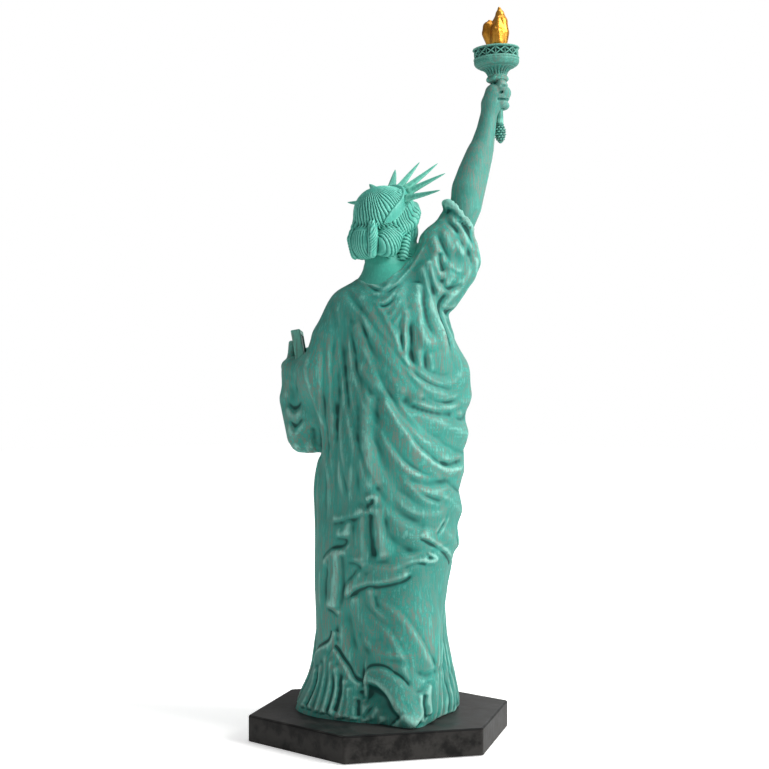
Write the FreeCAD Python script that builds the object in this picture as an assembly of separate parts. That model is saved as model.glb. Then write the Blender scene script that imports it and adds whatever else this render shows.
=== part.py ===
import FreeCAD, Part
import math
import os

# Miniature landmark figurine: a robed torch bearer in cast resin on a six-sided
# plinth.  Millimetres, +Z up, origin at the centre of the resting face.  Her
# front is towards -Y, her raised right arm towards -X, her left towards +X.

os.makedirs("parts", exist_ok=True)
V = FreeCAD.Vector
UP = V(0, 0, 1)

# ---- plinth, felt and base screws ------------------------------------------
PLINTH_R = 55.4            # circumradius of the hexagon
PLINTH_TOP = 10.9          # height of the upper face
PLINTH_BOTTOM = 0.4        # rim stands this far above the felt's lower face
PLINTH_CORNER_R = 1.6      # vertical edges
PLINTH_TOP_R = 0.8         # upper edge
FELT_R = 51.5              # circumradius of the felt pad
FELT_T = 1.2
FELT_GAP = 0.25            # felt to recess wall
SPIGOT_R, SPIGOT_H = 12.0, 2.5         # robe spigot in the plinth
SPIGOT_Z = PLINTH_TOP - SPIGOT_H
SPIGOT_CLEAR = 0.15
SOCKET_END_GAP = 0.3       # below the robe spigot and below the neck plug
SCREW_X = 17.0             # one screw either side of the axis
SCREW_Z = FELT_T + 0.25    # outer face of the screw head
SCREW_HEAD_R, SCREW_HEAD_H = 3.4, 1.9
SCREW_HEAD_CLEAR = 0.15
SCREW_R = 1.4              # shank
SCREW_HOLE_R = 1.8         # clearance hole in the plinth
SCREW_PILOT_R = 1.45       # hole in the casting
SCREW_TIP_Z = 21.0
SCREW_POINT_R, SCREW_POINT_H = 0.3, 2.0
SLOT_L, SLOT_W, SLOT_H = 3.6, 0.8, 1.3  # each arm of the cross recess

# ---- joints ----------------------------------------------------------------
SOCKET_CLEAR = 0.12        # neck plug and arm in the robe
BORE_CLEAR = 0.05          # round every pin
NECK_FOOT = V(1.9, -2.4, 191.4)        # on the joint plane between gown and neck
NECK_PLUG_R, NECK_PLUG_H = 6.0, 8.0
NECK_DOWEL_R, NECK_DOWEL_L = 1.25, 14.0
ARM_ROD_R, ARM_ROD_L = 1.0, 26.0
HAND_PIN_R, HAND_PIN_L = 0.9, 9.4
TABLET_PIN_R, TABLET_PIN_L = 0.75, 4.6

# ---- head and crown --------------------------------------------------------
HEAD_C = V(0.33, -3.88, 211.5)
CROWN_C = V(-0.52, -3.31, 219.2)
CROWN_TILT = math.radians(44.3)        # band plane above the horizontal
CROWN_FAN = math.radians(81.2)         # outermost ray either side
CROWN_RAYS = 7
CROWN_TIP_R = 27.2
BAND_R0, BAND_T, BAND_W = 9.6, 2.0, 5.4
BAND_DIP = 1.5             # the band is closer in at the brow
BAND_CHAMFER = 0.6
BAND_END, BAND_STEP = 98, 14           # degrees either side, and between sections
RAY_ROOT = 0.3             # ray starts this far inside the band's outer face
RAY_PIN_R, RAY_PIN_L, RAY_PIN_DEPTH = 0.6, 2.6, 1.5
RAY_HOLE_R, RAY_HOLE_L, RAY_HOLE_DEPTH = 0.65, 4.0, 1.7

# ---- torch; heights are along its axis from the foot -----------------------
TORCH_FOOT = V(-29.13, -41.94, 245.05)
TORCH_HEAD = V(-27.65, -40.49, 287.32)
HANDLE_R0, HANDLE_R1 = 1.6, 1.9
CUP_FLUTES = 18
FLUTE_R, FLUTE_L = 0.62, 7.2
FINIAL_GROOVES = 8
GALLERY_R = 9.9            # outermost radius, shared with the cup rim
GALLERY_BORE_R = 8.3
GALLERY_BAYS = 14
STRUT_R, STRUT_CIRCLE_R = 0.34, 9.05
STRUT_Z0, STRUT_Z1 = 35.4, 38.8
RIM_Z0, RIM_Z1 = 33.6, 34.8            # cup rim; the gallery stands on it
GALLERY_TOP = 40.0
FLAME_PIN_R, FLAME_PIN_L = 1.5, 2.0

# ---- tablet ----------------------------------------------------------------
TABLET_C = V(39.1, 6.2, 144.8)
TABLET_W, TABLET_H, TABLET_T = 26.0, 45.0, 3.9
TABLET_EDGE_R = 0.45
TABLET_BORDER, TABLET_RAISE = 2.2, 0.5
TABLET_ACROSS = V(0.7009, -0.7133, 0.0)         # to her left and front
TABLET_UP = V(0.1214, 0.1193, 0.9854)
TABLET_OUT = V(-0.7029, -0.6907, 0.1702)        # out of the framed face
HALF_W, HALF_H, HALF_T = TABLET_W / 2, TABLET_H / 2, TABLET_T / 2

# ---- figure axes -----------------------------------------------------------
# Shoulder pair, turned 44.5 degrees about +Z
SHOULDER_RIGHT = V(-0.71325, -0.70091, 0)       # to her right and front
SHOULDER_LEFT = V(0.70091, -0.71325, 0)         # to her left and front
# Torso pair, turned towards her left
TORSO_TURN = math.radians(14.5)
TORSO_RIGHT = V(-math.cos(TORSO_TURN), -math.sin(TORSO_TURN), 0)
TORSO_FRONT = V(math.sin(TORSO_TURN), -math.cos(TORSO_TURN), 0)


def shoulder(right, left, z):
    """Point on the shoulder pair."""
    return SHOULDER_RIGHT * right + SHOULDER_LEFT * left + UP * z


def torso(right, front, z):
    """Point on the torso pair."""
    return TORSO_RIGHT * right + TORSO_FRONT * front + UP * z


def on_tablet(across, up, out):
    """Point measured from the tablet's centre along its own axes."""
    return TABLET_C + TABLET_ACROSS * across + TABLET_UP * up + TABLET_OUT * out


# ---- shape helpers ---------------------------------------------------------
def unit(vector):
    result = V(vector)
    result.normalize()
    return result


def radial(radius, angle, z):
    return V(radius * math.cos(angle), radius * math.sin(angle), z)


def largest(shape):
    return max(shape.Solids, key=lambda solid: solid.Volume)


def loft_wires(wires):
    solid = Part.makeLoft(wires, True, False)
    if solid.Volume < 0:
        solid.reverse()
    return solid


def loft(rows):
    """Solid through closed splines, one for each row of points."""
    wires = []
    for row in rows:
        curve = Part.BSplineCurve()
        curve.interpolate(row, PeriodicFlag=True)
        wires.append(Part.Wire([curve.toShape()]))
    return loft_wires(wires)


def prism(points, sweep):
    return Part.Face(Part.makePolygon(points + [points[0]])).extrude(sweep)


def hexagon(radius, z0, z1):
    corners = [radial(radius, math.radians(-60 + 60 * k), z0) for k in range(6)]
    return prism(corners, V(0, 0, z1 - z0))


def slab(half_width, half_height, out0, out1):
    """Block centred on the tablet, between two offsets from its mid plane."""
    corners = [on_tablet(half_width * i, half_height * j, out0)
               for i, j in ((-1, -1), (1, -1), (1, 1), (-1, 1))]
    return prism(corners, TABLET_OUT * (out1 - out0))


def revolve(profile):
    """Solid of revolution about +Z; profile is a list of (height, radius)."""
    points = [V(0, 0, profile[0][0])]
    points += [V(radius, 0, z) for z, radius in profile]
    points.append(V(0, 0, profile[-1][0]))
    face = Part.Face(Part.makePolygon(points + [points[0]]))
    return face.revolve(V(0, 0, 0), UP, 360)


def smooth_revolve(profile):
    """As revolve, with a spline through the profile."""
    points = [V(radius, 0, z) for z, radius in profile]
    curve = Part.BSplineCurve()
    curve.interpolate(points)
    bottom = V(0, 0, points[0].z)
    top = V(0, 0, points[-1].z)
    wire = Part.Wire([curve.toShape(), Part.makeLine(points[-1], top),
                      Part.makeLine(top, bottom), Part.makeLine(bottom, points[0])])
    return Part.Face(wire).revolve(V(0, 0, 0), UP, 360)


def along(shape, point, direction):
    """Place a shape modelled on +Z at point, looking along direction."""
    placed = shape.copy()
    placed.Placement = FreeCAD.Placement(point, FreeCAD.Rotation(UP, direction))
    return placed


def pin_and_bore(radius, length, foot, direction, end_gap):
    """A pin and the hole for it, longer than the pin by end_gap at each end."""
    pin = Part.makeCylinder(radius, length, foot, direction)
    bore = Part.makeCylinder(radius + BORE_CLEAR, length + 2 * end_gap,
                             foot - direction * end_gap, direction)
    return pin, bore


def catmull(points, radii, per_span):
    """Catmull-Rom points along a path, with the radii eased between stations."""
    path, eased = [], []
    last = len(points) - 1
    for i in range(last):
        before, after = points[max(i - 1, 0)], points[min(i + 2, last)]
        for k in range(per_span):
            t = k / per_span
            path.append(before * (-0.5 * t + t * t - 0.5 * t ** 3)
                        + points[i] * (1 - 2.5 * t * t + 1.5 * t ** 3)
                        + points[i + 1] * (0.5 * t + 2 * t * t - 1.5 * t ** 3)
                        + after * (-0.5 * t * t + 0.5 * t ** 3))
            eased.append(radii[i] + (radii[i + 1] - radii[i]) * (3 * t * t - 2 * t ** 3))
    return path + [points[-1]], eased + [radii[-1]]


def dome(centre, radius, tangent, outward):
    """Sections of a rounded end, from its base; outward is +1 or -1 along tangent."""
    sections = []
    for degrees in (36, 58, 78):
        angle = math.radians(degrees)
        sections.append((centre + tangent * (outward * radius * math.sin(angle)),
                         radius * math.cos(angle), tangent, max(outward, 0)))
    return sections


def limb(points, radii, flat=1.0, side=None, caps=(True, True), per=2, count=14,
         wave=(0, 0, 0)):
    """A tapering member along a smooth path.

    flat    depth over width
    side    fixed direction of the width; otherwise it is carried along the path
    caps    whether the start and the end are domed
    per     sections to a span
    count   points round a section
    wave    ripple round the section: relative height, lobes, twist in radians
    """
    path, radii = catmull(points, radii, per)
    last = len(path) - 1
    tangents = [unit(path[min(i + 1, last)] - path[max(i - 1, 0)]) for i in range(last + 1)]
    # each section: centre, radius, tangent, share of the path
    sections = [(path[i], radii[i], tangents[i], i / last) for i in range(last + 1)]
    if caps[0]:
        sections = dome(path[0], radii[0], tangents[0], -1)[::-1] + sections
    if caps[1]:
        sections += dome(path[-1], radii[-1], tangents[-1], 1)
    reference = side
    if side is None:
        reference = V(1, 0, 0) if abs(tangents[0].x) < 0.8 else V(0, 1, 0)
    height, lobes, twist = wave
    rows = []
    for centre, radius, tangent, share in sections:
        across = unit(reference - tangent * reference.dot(tangent))
        deep = tangent.cross(across)
        if side is None:
            reference = across
        row = []
        for k in range(count):
            angle = 2 * math.pi * k / count
            rippled = radius * (1 + height * math.sin(lobes * angle + twist * share))
            row.append(centre + across * (rippled * math.cos(angle))
                       + deep * (rippled * flat * math.sin(angle)))
        rows.append(row)
    return loft(rows)


def export(shape, name):
    if shape.ShapeType == "Compound" and len(shape.Solids) == 1:
        shape = shape.Solids[0]
    shape.exportStep("parts/%s.step" % name)


# ---- plinth and fixings ----------------------------------------------------
def make_plinth():
    plinth = hexagon(PLINTH_R, PLINTH_BOTTOM, PLINTH_TOP)
    upright = [e for e in plinth.Edges if abs(e.tangentAt(e.FirstParameter).z) > 0.9]
    plinth = plinth.makeFillet(PLINTH_CORNER_R, upright)
    upper = [e for e in plinth.Edges if e.BoundBox.ZMin > PLINTH_TOP - 1e-3]
    plinth = plinth.makeFillet(PLINTH_TOP_R, upper)
    plinth = plinth.cut(hexagon(FELT_R + FELT_GAP, PLINTH_BOTTOM - 1, FELT_T))
    plinth = plinth.cut(Part.makeCylinder(SPIGOT_R + SPIGOT_CLEAR, SPIGOT_H + SOCKET_END_GAP + 1,
                                          V(0, 0, SPIGOT_Z - SOCKET_END_GAP)))
    head_r = SCREW_HEAD_R + SCREW_HEAD_CLEAR
    for x in (-SCREW_X, SCREW_X):
        plinth = plinth.cut(Part.makeCylinder(SCREW_HOLE_R, 14, V(x, 0, 0)))
        plinth = plinth.cut(Part.makeCone(head_r, SCREW_HOLE_R - 0.25,
                                          SCREW_HEAD_H + SCREW_HEAD_CLEAR, V(x, 0, SCREW_Z)))
        plinth = plinth.cut(Part.makeCylinder(head_r, 0.3, V(x, 0, FELT_T - 0.05)))
    return plinth


def base_screw(x):
    """Countersunk screw, head down, with a cross recess."""
    point_z = SCREW_TIP_Z - SCREW_POINT_H
    screw = Part.makeCone(SCREW_HEAD_R, SCREW_R, SCREW_HEAD_H, V(x, 0, SCREW_Z))
    screw = screw.fuse(Part.makeCylinder(SCREW_R, point_z - SCREW_Z, V(x, 0, SCREW_Z)))
    screw = screw.fuse(Part.makeCone(SCREW_R, SCREW_POINT_R, SCREW_POINT_H, V(x, 0, point_z)))
    for turn in (0, 90):
        slot = Part.makeBox(SLOT_L, SLOT_W, SLOT_H, V(-SLOT_L / 2, -SLOT_W / 2, 0))
        slot.Placement = FreeCAD.Placement(V(x, 0, SCREW_Z - 0.1), FreeCAD.Rotation(UP, turn))
        screw = screw.cut(slot)
    return screw.removeSplitter()


# ---- gown ------------------------------------------------------------------
# z, centre to her right, centre to her front, half width, half depth, exponent
GOWN = [
    (PLINTH_TOP, -2.5, 0.5, 33.0, 32.0, 2.3), (16, -1.5, 1.0, 31.8, 30.2, 2.3),
    (24, -0.5, 1.5, 29.2, 28.0, 2.25), (34, -0.5, 1.5, 27.2, 26.2, 2.2),
    (46, -1.3, 1.5, 26.4, 25.6, 2.2), (60, -1.8, 1.5, 26.4, 25.6, 2.2),
    (75, 0.0, 2.0, 28.2, 26.5, 2.2), (90, 1.4, 3.0, 28.9, 27.0, 2.2),
    (105, 2.4, 3.5, 29.2, 26.6, 2.15), (120, 4.0, 4.0, 30.2, 26.0, 2.1),
    (135, 3.5, 4.5, 29.2, 25.0, 2.1), (150, 2.6, 5.0, 27.6, 23.0, 2.1),
    (163, 2.0, 5.0, 25.6, 20.8, 2.1), (172, 2.0, 4.5, 23.6, 18.5, 2.1),
    (180, 2.0, 4.0, 20.0, 15.5, 2.1), (187, 1.5, 4.0, 14.0, 11.5, 2.0),
    (192, 1.0, 4.0, 9.0, 8.0, 2.0)]
# heights of the lofted sections
GOWN_LEVELS = [
    PLINTH_TOP, 14, 18.5, 24, 30, 37, 44, 50, 54.5, 59, 64, 70, 76, 82, 88, 94, 100, 106,
    112, 118, 123, 128, 133, 138, 143, 148, 153, 158, 163, 168, 173, 178, 183, 187.5, 192]
GOWN_POINTS = 84           # round each section
MARCH_START, MARCH_STEP = 56.0, 1.5    # search inwards for the surface


def gown_section(z):
    """The GOWN columns after z, interpolated at a height."""
    for low, high in zip(GOWN, GOWN[1:]):
        if z <= high[0]:
            t = (z - low[0]) / (high[0] - low[0])
            return [low[k] + t * (high[k] - low[k]) for k in range(1, 6)]


def blend(first, second, softness):
    """Smooth union of two distances."""
    overlap = max(softness - abs(first - second), 0.0) / softness
    return min(first, second) - overlap * overlap * softness * 0.25


def tube(point, path, radii):
    """Distance to a tapering tube."""
    nearest = 1e9
    for i in range(len(path) - 1):
        run = path[i + 1] - path[i]
        offset = point - path[i]
        t = max(0.0, min(1.0, offset.dot(run) / run.dot(run)))
        gap = (offset - run * t).Length
        nearest = min(nearest, gap - (radii[i] + (radii[i + 1] - radii[i]) * t))
    return nearest


def ellipsoid(point, centre, half):
    """Approximate distance; half axes are to her right, to her front and up."""
    offset = point - centre
    right = offset.dot(TORSO_RIGHT) / half[0]
    front = offset.dot(TORSO_FRONT) / half[1]
    return (math.sqrt(right * right + front * front + (offset.z / half[2]) ** 2) - 1) * min(half)


# Body forms under the cloth, blended in this order.
# above z, below z, blend softness, distance function, place, radii or half axes
BODY = [
    # right leg, then its heel
    (0, 125, 10, tube, [torso(14, -2, 95), torso(18, -8, 62), torso(21, -15, 36),
                        torso(23, -19, 17)], (17, 14, 12, 10)),
    # left leg
    (0, 125, 10, tube, [torso(-11, 6, 100), torso(-12, 16, 66), torso(-12, 15, 34),
                        torso(-12, 19, 14)], (18, 14, 12, 12)),
    (0, 40, 6, tube, [torso(24, -19, 22), torso(28, -25, 12)], (7, 4.5)),
    # seat and belly
    (80, 160, 10, ellipsoid, torso(6, -8, 112), (22, 16, 22)),
    (80, 160, 10, ellipsoid, torso(3, 12, 128), (22, 16, 26)),
    # roll of cloth at the right hip
    (125, 999, 6, tube, [shoulder(19, -10, 160), shoulder(27, -4, 148),
                         shoulder(27, 5, 141)], (8, 9, 9)),
    # bust, right and left
    (145, 999, 7, ellipsoid, torso(12, 17, 164), (10, 9, 10)),
    (145, 999, 7, ellipsoid, torso(-7, 17, 164), (10, 9, 10))]


def gown_distance(point, section):
    """Signed distance from the smooth body, negative inside."""
    right, front, half_width, half_depth, power = section
    across = abs((point.dot(TORSO_RIGHT) - right) / half_width)
    deep = abs((point.dot(TORSO_FRONT) - front) / half_depth)
    distance = ((across ** power + deep ** power) ** (1 / power) - 1) * min(half_width, half_depth)
    for above, below, softness, form, place, sizes in BODY:
        if above < point.z < below:
            distance = blend(distance, form(point, place, sizes), softness)
    return distance


def window(x, low, high, soft):
    """1 between low and high, easing to 0 over soft inside each end."""
    rise = max(0.0, min(1.0, (x - low) / soft))
    fall = max(0.0, min(1.0, (high - x) / soft))
    return rise * rise * (3 - 2 * rise) * (fall * fall * (3 - 2 * fall))


def sin_deg(degrees):
    return math.sin(math.radians(degrees))


def ripple(distance, pitch):
    return math.sin(2 * math.pi * distance / pitch)


def folds(turn, z):
    """Relief of the cloth in mm.

    turn is in degrees, anticlockwise from above: 0 at her right rear, 45 at her
    right, 135 at her front, -45 at her rear and -135 at her left.
    """
    # hem pleats, all round
    relief = 0.9 * window(z, -50, 52, 26) * sin_deg(turn * 27 + 14 * sin_deg(turn * 3))
    # long pleats from her left front round to the rear
    relief += (0.75 * window(turn, -175, -14, 14) * window(z, 40, 176, 22)
               * sin_deg(turn * 22 + z * 0.5))
    # mantle swags falling forwards round her right side
    swag = z + 0.42 * (turn + 20) - 0.0012 * (turn - 40) ** 2
    relief += 1.1 * window(turn, -28, 112, 22) * window(z, 118, 178, 14) * ripple(swag, 13.0)
    # broad hanging swags lower on her right side
    swag = z - 0.0042 * (turn - 22) ** 2
    relief += 0.9 * window(turn, -22, 96, 20) * window(z, 66, 116, 12) * ripple(swag, 15.0)
    # lower edge of the mantle, a step in the cloth
    edge = 57 + 0.20 * (turn + 35) if turn < 40 else 72 - 0.03 * (turn - 40)
    edge += 1.6 * sin_deg(turn * 5)
    relief += 1.3 * window(z, edge, 400, 5.0) * window(z, -10, edge + 34, 22)
    # diagonal folds over the front, rising to her left
    diagonal = z - 0.38 * (turn - 160)
    relief += 1.0 * window(turn, 118, 205, 20) * window(z, 60, 168, 16) * ripple(diagonal, 15.0)
    return relief


def body_radius(centre, direction, section):
    """Distance from centre to the smooth body: march inwards, then bisect."""
    inside = MARCH_START
    while gown_distance(centre + direction * inside, section) >= 0:
        inside -= MARCH_STEP
    outside = inside + MARCH_STEP
    for _ in range(9):
        middle = 0.5 * (inside + outside)
        if gown_distance(centre + direction * middle, section) < 0:
            inside = middle
        else:
            outside = middle
    return inside


def make_gown():
    rows = []
    for z in GOWN_LEVELS:
        section = gown_section(z)
        centre = torso(section[0], section[1], z)
        fade = window(z, -50, 191, 12)
        row = []
        for k in range(GOWN_POINTS):
            degrees = 360.0 * k / GOWN_POINTS
            direction = radial(1, math.radians(degrees), 0)
            turn = degrees - 134.5
            if turn > 185:
                turn -= 360
            radius = body_radius(centre, direction, section) + fade * folds(turn, z)
            row.append(centre + direction * radius)
        rows.append(row)
    return loft(rows)


def sleeves():
    at = shoulder
    return [
        # shoulders
        limb([at(-12.5, 3, 175.5), at(-2, 3, 182.5), at(12, 3, 185), at(22, 1, 189)],
             [10, 8, 8, 11], per=3),
        # left upper arm wrapped in the mantle
        limb([at(-12.5, 3, 175), at(-19.5, 3, 163), at(-23.3, 3, 149), at(-19, 1.5, 137)],
             [10, 10.8, 9.2, 7.5], count=18, wave=(0.05, 5, 4.0)),
        # left forearm sleeve
        limb([at(-20, 2, 147), at(-29, 11, 149.5), at(-36.5, 17.5, 150.5)],
             [9.0, 8.0, 5.8], per=3),
        # cloth hanging from the left forearm
        limb([at(-34.3, 17, 151), at(-35.3, 18, 138), at(-31.5, 17, 122)],
             [6.3, 7.8, 7.6], count=18, wave=(0.06, 5, 5.0)),
        limb([at(-25, 8, 148), at(-26.5, 10, 131)], [8, 6.5]),
        # right sleeve
        limb([at(14, 2, 180), at(20, 2, 188), at(28.4, 3, 205.5)],
             [10, 11.5, 9.0], count=18, wave=(0.04, 5, 6.0)),
        limb([at(24, 2, 200), at(31.0, 1, 198.8), at(33.8, 1, 195)], [9, 7.0, 6.0]),
        limb([at(29, 0.5, 188), at(25, 0, 178)], [7, 6])]


def make_robe(cutters):
    """Gown, mantle and sleeves in one casting, less the cutters in turn."""
    spigot = Part.makeCylinder(SPIGOT_R, SPIGOT_H + 3, V(0, 0, SPIGOT_Z))
    robe = make_gown().fuse(sleeves() + [spigot])
    # trim everything below the spigot's foot, then round the spigot
    corner = V(-80, -80, SPIGOT_Z)
    robe = robe.common(Part.makeBox(160, 160, 260, corner))
    robe = robe.cut(Part.makeBox(160, 160, SPIGOT_H, corner).cut(
        Part.makeCylinder(SPIGOT_R, SPIGOT_H, V(0, 0, SPIGOT_Z))))
    pilot_z = 8
    for x in (-SCREW_X, SCREW_X):
        robe = robe.cut(Part.makeCylinder(SCREW_PILOT_R, SCREW_TIP_Z + 1.5 - pilot_z,
                                          V(x, 0, pilot_z)))
    for cutter in cutters:
        robe = robe.cut(cutter)
    return largest(robe)


# ---- head, hair and neck ---------------------------------------------------
# z, centre to the front, half width, half depth, all from HEAD_C
SKULL = [
    (-14.8, 7.4, 2.2, 2.0), (-13.4, 7.0, 4.0, 3.9), (-10.5, 5.6, 5.9, 6.3),
    (-7, 3.8, 7.2, 8.9), (-3.5, 2.2, 8.4, 11.0), (0, 1.0, 9.4, 12.4),
    (4, 0.4, 10.1, 13.1), (8, 0.2, 9.8, 12.6), (11, 0.0, 8.2, 10.6),
    (13.2, 0.0, 5.4, 7.2), (14.4, 0.0, 2.0, 2.8)]
SKULL_POINTS = 36


def make_skull():
    rows = []
    for z, centre, half_width, half_depth in SKULL:
        row = []
        for k in range(SKULL_POINTS):
            # angle from the front, turning to her right
            angle = 2 * math.pi * k / SKULL_POINTS
            off_front = angle if angle < math.pi else angle - 2 * math.pi
            nose = 1.7 * math.exp(-(off_front / 0.14) ** 2) * max(0.0, 1 - abs(z + 3.2) / 4.2)
            brow = 0.5 * math.exp(-(off_front / 0.5) ** 2) * max(0.0, 1 - abs(z - 2.6) / 2.4)
            # ripples of the hair round the sides and back
            combed = abs(off_front) > 1.2 and -5 < z < 13
            hair = 0.22 * math.sin(30 * angle) if combed else 0
            right = (half_width + hair) * math.sin(angle)
            front = centre + (half_depth + hair) * math.cos(angle) + nose + brow
            row.append(HEAD_C + V(-right, -front, z))
        rows.append(row)
    return loft(rows)


def make_head(bore, band):
    neck = limb([NECK_FOOT, V(1.2, -3.0, 198), V(0.5, -3.6, 204)], [7.9, 6.9, 6.6],
                flat=1.05, caps=(False, True), per=3)
    neck = neck.cut(Part.makeBox(40, 40, 12, V(-20, -22, NECK_FOOT.z - 12)))
    bun = limb([HEAD_C + V(-3.6, 11.0, -7.6), HEAD_C + V(3.6, 11.0, -7.6)], [5.2, 5.2],
               count=18, wave=(0.03, 9, 0))
    rolls = [limb([HEAD_C + V(side * 6.8, 8.6, -9.5), HEAD_C + V(side * 8.6, 4.6, -7)],
                  [3.2, 2.4]) for side in (1, -1)]
    ears = [limb([HEAD_C + V(side * 9.1, 0.6, -2.4), HEAD_C + V(side * 9.5, 1.4, 1.4)],
                 [1.2, 1.5]) for side in (1, -1)]
    head = make_skull()
    for piece in [neck, bun] + rolls + ears:
        head = head.fuse(piece)
    head = head.fuse(Part.makeCylinder(NECK_PLUG_R, NECK_PLUG_H + 2,
                                       NECK_FOOT - UP * NECK_PLUG_H))
    return largest(head.cut(bore).cut(band))


# ---- crown: band seated in the hair, rays pinned into it -------------------
CROWN_RIGHT = V(-1, 0, 0)
CROWN_FRONT = V(0, -math.cos(CROWN_TILT), math.sin(CROWN_TILT))
CROWN_AXIS = CROWN_RIGHT.cross(CROWN_FRONT)
RAY_ANGLES = [-CROWN_FAN + 2 * CROWN_FAN * k / (CROWN_RAYS - 1) for k in range(CROWN_RAYS)]
# share of the length, half width along the band, half width along its axis
RAY_TAPER = [(0, 1.35, 1.75), (0.35, 1.05, 1.35), (0.75, 0.6, 0.75), (1.0, 0.22, 0.28)]


def crown_direction(angle):
    return CROWN_RIGHT * math.sin(angle) + CROWN_FRONT * math.cos(angle)


def band_radius(angle):
    """Outer radius of the band."""
    return BAND_R0 - BAND_DIP * math.cos(angle) ** 2 + BAND_T


def band_section(angle):
    direction = crown_direction(angle)
    half = 0.5 * BAND_W * (1.0 - 0.45 * (abs(angle) / 1.75) ** 2)
    outer = band_radius(angle)
    inner = outer - BAND_T
    points = [CROWN_C + direction * radius + CROWN_AXIS * height for radius, height in (
        (inner, -half), (outer - BAND_CHAMFER, -half), (outer, -half + BAND_CHAMFER),
        (outer, half - BAND_CHAMFER), (outer - BAND_CHAMFER, half), (inner, half))]
    return Part.Wire(Part.makePolygon(points + [points[0]]))


def make_band():
    return loft_wires([band_section(math.radians(degrees))
                       for degrees in range(-BAND_END, BAND_END + 1, BAND_STEP)])


def ray_hole(angle):
    direction = crown_direction(angle)
    foot = CROWN_C + direction * (band_radius(angle) - RAY_HOLE_DEPTH)
    return Part.makeCylinder(RAY_HOLE_R, RAY_HOLE_L, foot, direction)


def make_ray(angle, band):
    direction = crown_direction(angle)
    side = CROWN_AXIS.cross(direction)
    outer = band_radius(angle)
    root = CROWN_C + direction * (outer - RAY_ROOT)
    length = CROWN_TIP_R - outer + RAY_ROOT
    rows = []
    for share, half_side, half_axis in RAY_TAPER:
        row = []
        for k in range(8):
            turn = 2 * math.pi * k / 8
            row.append(root + direction * (length * share) + side * (half_side * math.cos(turn))
                       + CROWN_AXIS * (half_axis * math.sin(turn)))
        rows.append(row)
    pin = Part.makeCylinder(RAY_PIN_R, RAY_PIN_L,
                            CROWN_C + direction * (outer - RAY_PIN_DEPTH), direction)
    # seat the ray on the band face, leaving its pin
    return largest(loft(rows).fuse(pin).cut(band.cut(ray_hole(angle))))


def drill_band(band):
    for angle in RAY_ANGLES:
        band = band.cut(ray_hole(angle))
    return band


# ---- right arm with the fist round the torch handle ------------------------
TORCH_AXIS = unit(TORCH_HEAD - TORCH_FOOT)
TORCH_LEFT = unit(V(1, 0, 0) - TORCH_AXIS * TORCH_AXIS.x)
TORCH_BACK = TORCH_AXIS.cross(TORCH_LEFT)
ARM_PATH = [
    V(-20.6, -24.0, 209.0), V(-22.92, -26.73, 217.96), V(-24.78, -29.96, 231.83),
    V(-26.38, -32.94, 241.99), V(-27.37, -34.61, 250.01), V(-27.9, -35.7, 256.4),
    V(-28.3, -37.0, 261.0), V(-28.7, -38.0, 265.8)]
ARM_RADII = [6.5, 6.7, 6.2, 5.1, 4.0, 3.5, 4.2, 3.8]
FIST_FINGERS = [(16.0, 1.75), (18.9, 1.85), (21.8, 1.85), (24.3, 1.6)]  # height, radius


def on_torch(height, left=0.0, back=0.0):
    return TORCH_FOOT + TORCH_AXIS * height + TORCH_LEFT * left + TORCH_BACK * back


def make_arm(rod_bore):
    arm = limb(ARM_PATH, ARM_RADII, caps=(False, True))
    for height, radius in FIST_FINGERS:
        reach = HANDLE_R1 + radius - 0.1
        points = []
        for degrees in (150, 205, 260, 315, 5):
            angle = math.radians(degrees)
            points.append(on_torch(height - 0.4, reach * math.cos(angle),
                                   reach * math.sin(angle)))
        taper = [radius, radius, radius * 0.97, radius * 0.93, radius * 0.85]
        arm = arm.fuse(limb(points, taper, count=12))
    thumb = [on_torch(19.0, 3.2, 2.6), on_torch(22.5, 3.6, -0.4), on_torch(24.6, 3.2, -2.4)]
    arm = arm.fuse(limb(thumb, [2.0, 1.8, 1.5], per=3, count=12))
    # room for the handle and for its collar
    arm = arm.cut(along(Part.makeCylinder(HANDLE_R1 + 0.1, 30), on_torch(9), TORCH_AXIS))
    arm = arm.cut(along(Part.makeCylinder(5.4, 8), on_torch(25.3), TORCH_AXIS))
    return arm.cut(rod_bore)


# ---- torch, modelled on +Z with its foot at the origin ---------------------
# profiles are (height, radius)
HANDLE = [(8.2, HANDLE_R0), (25.6, HANDLE_R1)]
COLLAR = [(25.4, 2.2), (25.7, 3.6), (26.6, 4.7), (27.6, 4.5), (28.2, 4.0)]
FINIAL = [(0, 0.25), (0.8, 0.9), (2.2, 1.9), (4.2, 2.4), (6.0, 2.25), (7.2, 1.75), (8.1, 1.85)]
CUP = [(28.2, 4.0), (28.7, 4.35), (29.8, 5.3), (30.9, 6.9), (32.3, 8.6), (RIM_Z0, 9.3),
       (RIM_Z0, GALLERY_R), (RIM_Z1, GALLERY_R), (RIM_Z1, 8.0)]
LOWER_RING = [(RIM_Z1, 9.3), (35.6, 9.3)]
UPPER_RING = [(38.6, 9.4), (39.0, GALLERY_R), (GALLERY_TOP, GALLERY_R), (GALLERY_TOP, 9.5)]
# height, centre x, centre y, radius, twist in degrees
FLAME = [
    (34.8, 0, 0, 3.2, 0), (36.0, 0, 0, 4.3, 10), (38.5, -0.2, 0, 5.2, 25),
    (41.5, -0.5, 0.1, 5.3, 40), (44.5, -0.2, 0.2, 4.4, 60), (47.5, 0.3, 0.1, 3.3, 80),
    (50.5, 0.7, 0, 2.3, 100), (53.5, 0.8, -0.1, 1.3, 115), (56.2, 0.5, -0.3, 0.6, 125),
    (57.4, 0.2, -0.4, 0.22, 130)]


def rod(radius, length, z):
    return Part.makeCylinder(radius, length, V(0, 0, z))


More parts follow.
